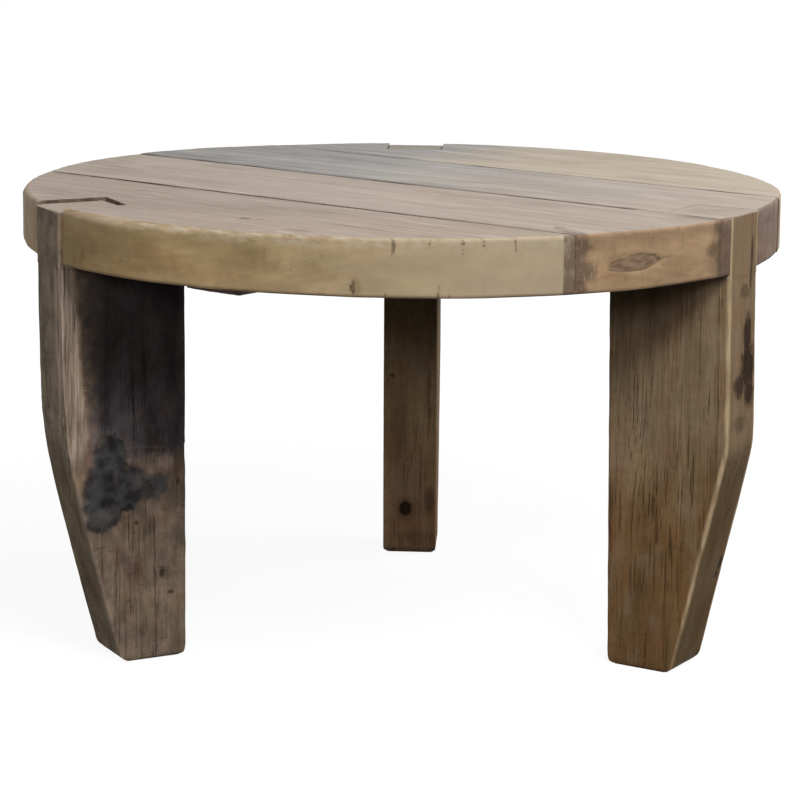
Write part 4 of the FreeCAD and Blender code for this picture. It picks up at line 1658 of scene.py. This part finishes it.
# %% Make the left leg
LEFT_LOOK = LegLook(7.0, (0.36, 0.12), 0.0045, "7d6a56", "6a5848", "807061", "706154", 0.200,
                    "aea094", "a69889", "a39380", 0.30)
left_wood = leg_wood("left", LEFT_LOOK, left_leg_marks)
left_leg = make_leg("left", left_wood, left_leg_wear)
paint(left_leg, "torn", torn_at)
paint(left_leg, "burnt", burnt_at)
paint(left_leg, "tar", tar_at)
settle(left_leg, LEG_ANGLES["left"], "leg_left")

# %% [markdown]
# ## The batten and its screws
# A dark board runs across the planks from below, and one end of it shows under the rim. Its ends are
# cut to a circle, and its lower corners are worn. The screws are already modelled, so the batten only
# needs their countersinks, which are cut where the construction model's screws stand.

# %% Shape of the batten
BATTEN_LOW, BATTEN_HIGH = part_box("cross_batten")
BATTEN_HALF = 0.039
BATTEN_END = 0.297
BATTEN_CELLS = (26, 196, 8)
SINK_RADIUS = 0.0054
SINK_DEPTH = 0.0034


def batten_board():
    """The board in the planks' frame, with its long side across them."""
    bm = gridded_cube(BATTEN_CELLS)
    thickness = BATTEN_HIGH.z - BATTEN_LOW.z
    for vertex in bm.verts:
        u, v, w = vertex.co
        x = 2 * u * BATTEN_HALF
        end = math.sqrt(BATTEN_END ** 2 - x * x)
        from_end, from_side, from_below = end * (1 - abs(2 * v)), BATTEN_HALF - abs(x), (w + 0.5) * thickness
        corner = 0.0030 * (1 + 0.3 * wobble(x * 30, v * 40, 0, 31))
        from_end, from_side = rounded((from_end, from_side), (4 * corner, 4 * corner))
        from_side, from_below = rounded((from_side, from_below), (corner, corner))
        from_end, from_below = rounded((from_end, from_below), (corner, corner))
        worn = 0.0003 * (1 + wobble(x * 90, v * 12, w, 32))
        x = math.copysign(BATTEN_HALF - from_side, x)
        y = math.copysign(end - from_end, v)
        z = BATTEN_LOW.z + from_below + worn * (1 - step(0.0, 0.004, from_below))
        vertex.co = (x, y, z)
    return bm


print(f"batten {2 * BATTEN_HALF:.3f} wide and {BATTEN_HIGH.z - BATTEN_LOW.z:.3f} thick")

# %% Countersinks for the screws
def screw_places():
    """The middle of each screw's head, found in the construction model's mesh."""
    heads = []
    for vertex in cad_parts["batten_screws"].data.vertices:
        if vertex.co.z < BATTEN_LOW.z + 0.0001:
            near = [head for head in heads if (head[0] - vertex.co).length < 0.012]
            if near:
                near[0].append(vertex.co.copy())
            else:
                heads.append([vertex.co.copy()])
    return [sum(head, Vector()) / len(head) for head in heads]


def countersinks():
    """A cone for each screw's head."""
    bm = bmesh.new()
    for place in screw_places():
        local = Matrix.Rotation(-PLANK_ANGLE, 3, "Z") @ place
        made = bmesh.ops.create_cone(bm, cap_ends=True, segments=32, radius1=SINK_RADIUS + SINK_DEPTH,
                                     radius2=SINK_RADIUS - SINK_DEPTH * 0.8, depth=2 * SINK_DEPTH)["verts"]
        bmesh.ops.translate(bm, vec=local, verts=made)
    print("screws found:", len(screw_places()))
    return new_object("countersinks", bm, [notch_wall])


print("countersinks", SINK_DEPTH, "m deep")

# %% The batten's wood
def batten_wood():
    """Dark stained wood, rough on its sawn face."""
    material, tree = new_material("wood_batten")
    space, level = grain_space(tree, PLANK_ANGLE + math.pi / 2, OBJECT_X_IS_GRAIN)
    grain = grain_patterns(tree, space, 8.0, (0.05, 0.30), 0.0040, 1.0)
    mixed = grain.streaks * 0.6 + grain.rings * 0.4
    base = blend(spread(mixed, 0.33, 0.67), "3d2d21", "63493a")
    base = tinted(base, spread(grain.fibres, 0.25, 0.75, 0.78, 1.2))
    saw = mottle(space, (260.0, 14.0, 14.0), detail=2.0)
    base = blend(grain.checks * 0.8, base, "1a120c")
    relief = saw * 0.35 + grain.streaks + grain.fibres
    finish(tree, base, spread(grain.streaks, 0.3, 0.7, 0.8, 0.6), raised(relief, 0.0010))
    return material


print("batten wood is dark and sawn")

# %% Make the batten
batten = new_object("worn_batten", batten_board(), [batten_wood(), notch_wall])
cut(batten, countersinks())
settle(batten, PLANK_ANGLE, "cross_batten")

# %% [markdown]
# ## Dowels and screws
# These come straight from the construction model, because their shapes are right. They only need a
# finish: plain turned wood for the dowels, and dull zinc with fine scratches for the screws.

# %% Finish the small parts
def dowel_wood():
    """Pale turned wood."""
    material, tree = new_material("wood_dowel")
    place = object_place(tree)
    streaks = mottle(place, (260, 260, 120), detail=3.0)
    base = blend(spread(streaks, 0.3, 0.7), "a5855c", "cbb083")
    finish(tree, base, spread(streaks, 0.3, 0.7, 0.7, 0.5), raised(streaks, 0.0003))
    return material


def screw_steel():
    """Dull zinc with fine scratches and a little rust."""
    material, tree = new_material("screw_zinc")
    place = object_place(tree)
    scratches = mottle(place, (1800, 240, 240), detail=2.0)
    rust = spread(mottle(place, (420, 420, 420), (1, 0, 0), detail=3.0), 0.55, 0.70)
    base = blend(spread(scratches, 0.3, 0.7), "8c8d8f", "b4b5b6")
    base = blend(rust * 0.7, base, "5d3a22")
    inputs = finish(tree, base, spread(rust, 0.0, 1.0, 0.38, 0.8), raised(scratches, 0.0001))
    plug(inputs["Metallic"], spread(rust, 0.0, 1.0, 1.0, 0.2))
    return material


turned_wood, dull_zinc = dowel_wood(), screw_steel()
for node_name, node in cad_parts.items():
    if "dowels" in node_name or "screws" in node_name:
        node.data.materials.clear()
        node.data.materials.append(turned_wood if "dowels" in node_name else dull_zinc)
print("small parts finished")

# %% [markdown]
# ## The floor and the light
# The photograph has a plain white ground. The floor is white to the camera and to reflections, with a
# little of its own light, so a faint shadow stays. To the wood it is a plain grey floor, so that
# it doesn't light the underside more than a real floor would.

# %% Floor
FLOOR_HALF = 30.0
NEAR_GLOW, FAR_GLOW = 0.925, 1.0


def looked_at(tree):
    """1 for a ray that comes from the camera, a mirror or a pane, 0 for one that only carries light."""
    rays = tree.nodes.new("ShaderNodeLightPath").outputs
    names = ("Is Camera Ray", "Is Glossy Ray", "Is Transmission Ray")
    camera_ray, glossy_ray, pane_ray = (Value(tree, rays[name]) for name in names)
    return larger(camera_ray, larger(glossy_ray, pane_ray))


def pale_floor():
    """White where it is looked at, grey where it bounces light."""
    material, tree = new_material("pale_floor")
    place = object_place(tree)
    base = blend(mottle(place, (40, 40, 40)), "585858", "606060")
    glow = spread(away_from(place, (0, 0, 0), (1, 1, 1)), 0.5, 1.6, NEAR_GLOW, FAR_GLOW)
    fill(tree.nodes["Principled BSDF"].inputs,
         {"Base Color": base, "Roughness": 0.9, "Specular IOR Level": 0.0,
          "Emission Color": (1, 1, 1, 1), "Emission Strength": looked_at(tree) * glow})
    return material


ground = bmesh.new()
bmesh.ops.create_grid(ground, x_segments=4, y_segments=4, size=FLOOR_HALF)
floor = new_object("floor", ground, [pale_floor()])
print("floor", 2 * FLOOR_HALF, "m across")

# %% Lamps and sky
def soft_lamp(name, place, aim, size, power):
    """A square lamp that faces a point."""
    data = bpy.data.lights.new(name, "AREA")
    data.size = size
    data.energy = power
    lamp = bpy.data.objects.new(name, data)
    facing_aim = (Vector(aim) - Vector(place)).to_track_quat("-Z", "Y").to_matrix().to_4x4()
    lamp.matrix_world = Matrix.Translation(place) @ facing_aim
    bpy.context.scene.collection.objects.link(lamp)
    return lamp


SKY_LEVEL = 0.035
soft_lamp("key", (1.02, -2.36, 2.75), (0, 0, 0.35), 1.0, 97)
soft_lamp("overhead", (2.0, 0.7, 2.3), (0.2, 0, 0.45), 1.6, 48)
soft_lamp("left_fill", (-2.3, -1.5, 1.6), (0, 0, 0.35), 1.4, 15)
soft_lamp("low_front", (-0.4, -3.6, 1.37), (0, 0, 0.2), 0.5, 27)
soft_lamp("back_window", (2.6, 1.7, 1.0), (0, 0, 0.3), 1.2, 7)

world = bpy.data.worlds.new("sky")
bpy.context.scene.world = world
world.use_nodes = True
sky = world.node_tree
sky_strength = spread(looked_at(sky), 0.0, 1.0, SKY_LEVEL, 1.0)
fill(sky.nodes["Background"].inputs, {"Color": (1, 1, 1, 1), "Strength": sky_strength})
bpy.context.scene.view_settings.view_transform = "Standard"
print("lamps:", ", ".join(lamp.name for lamp in bpy.data.lights))
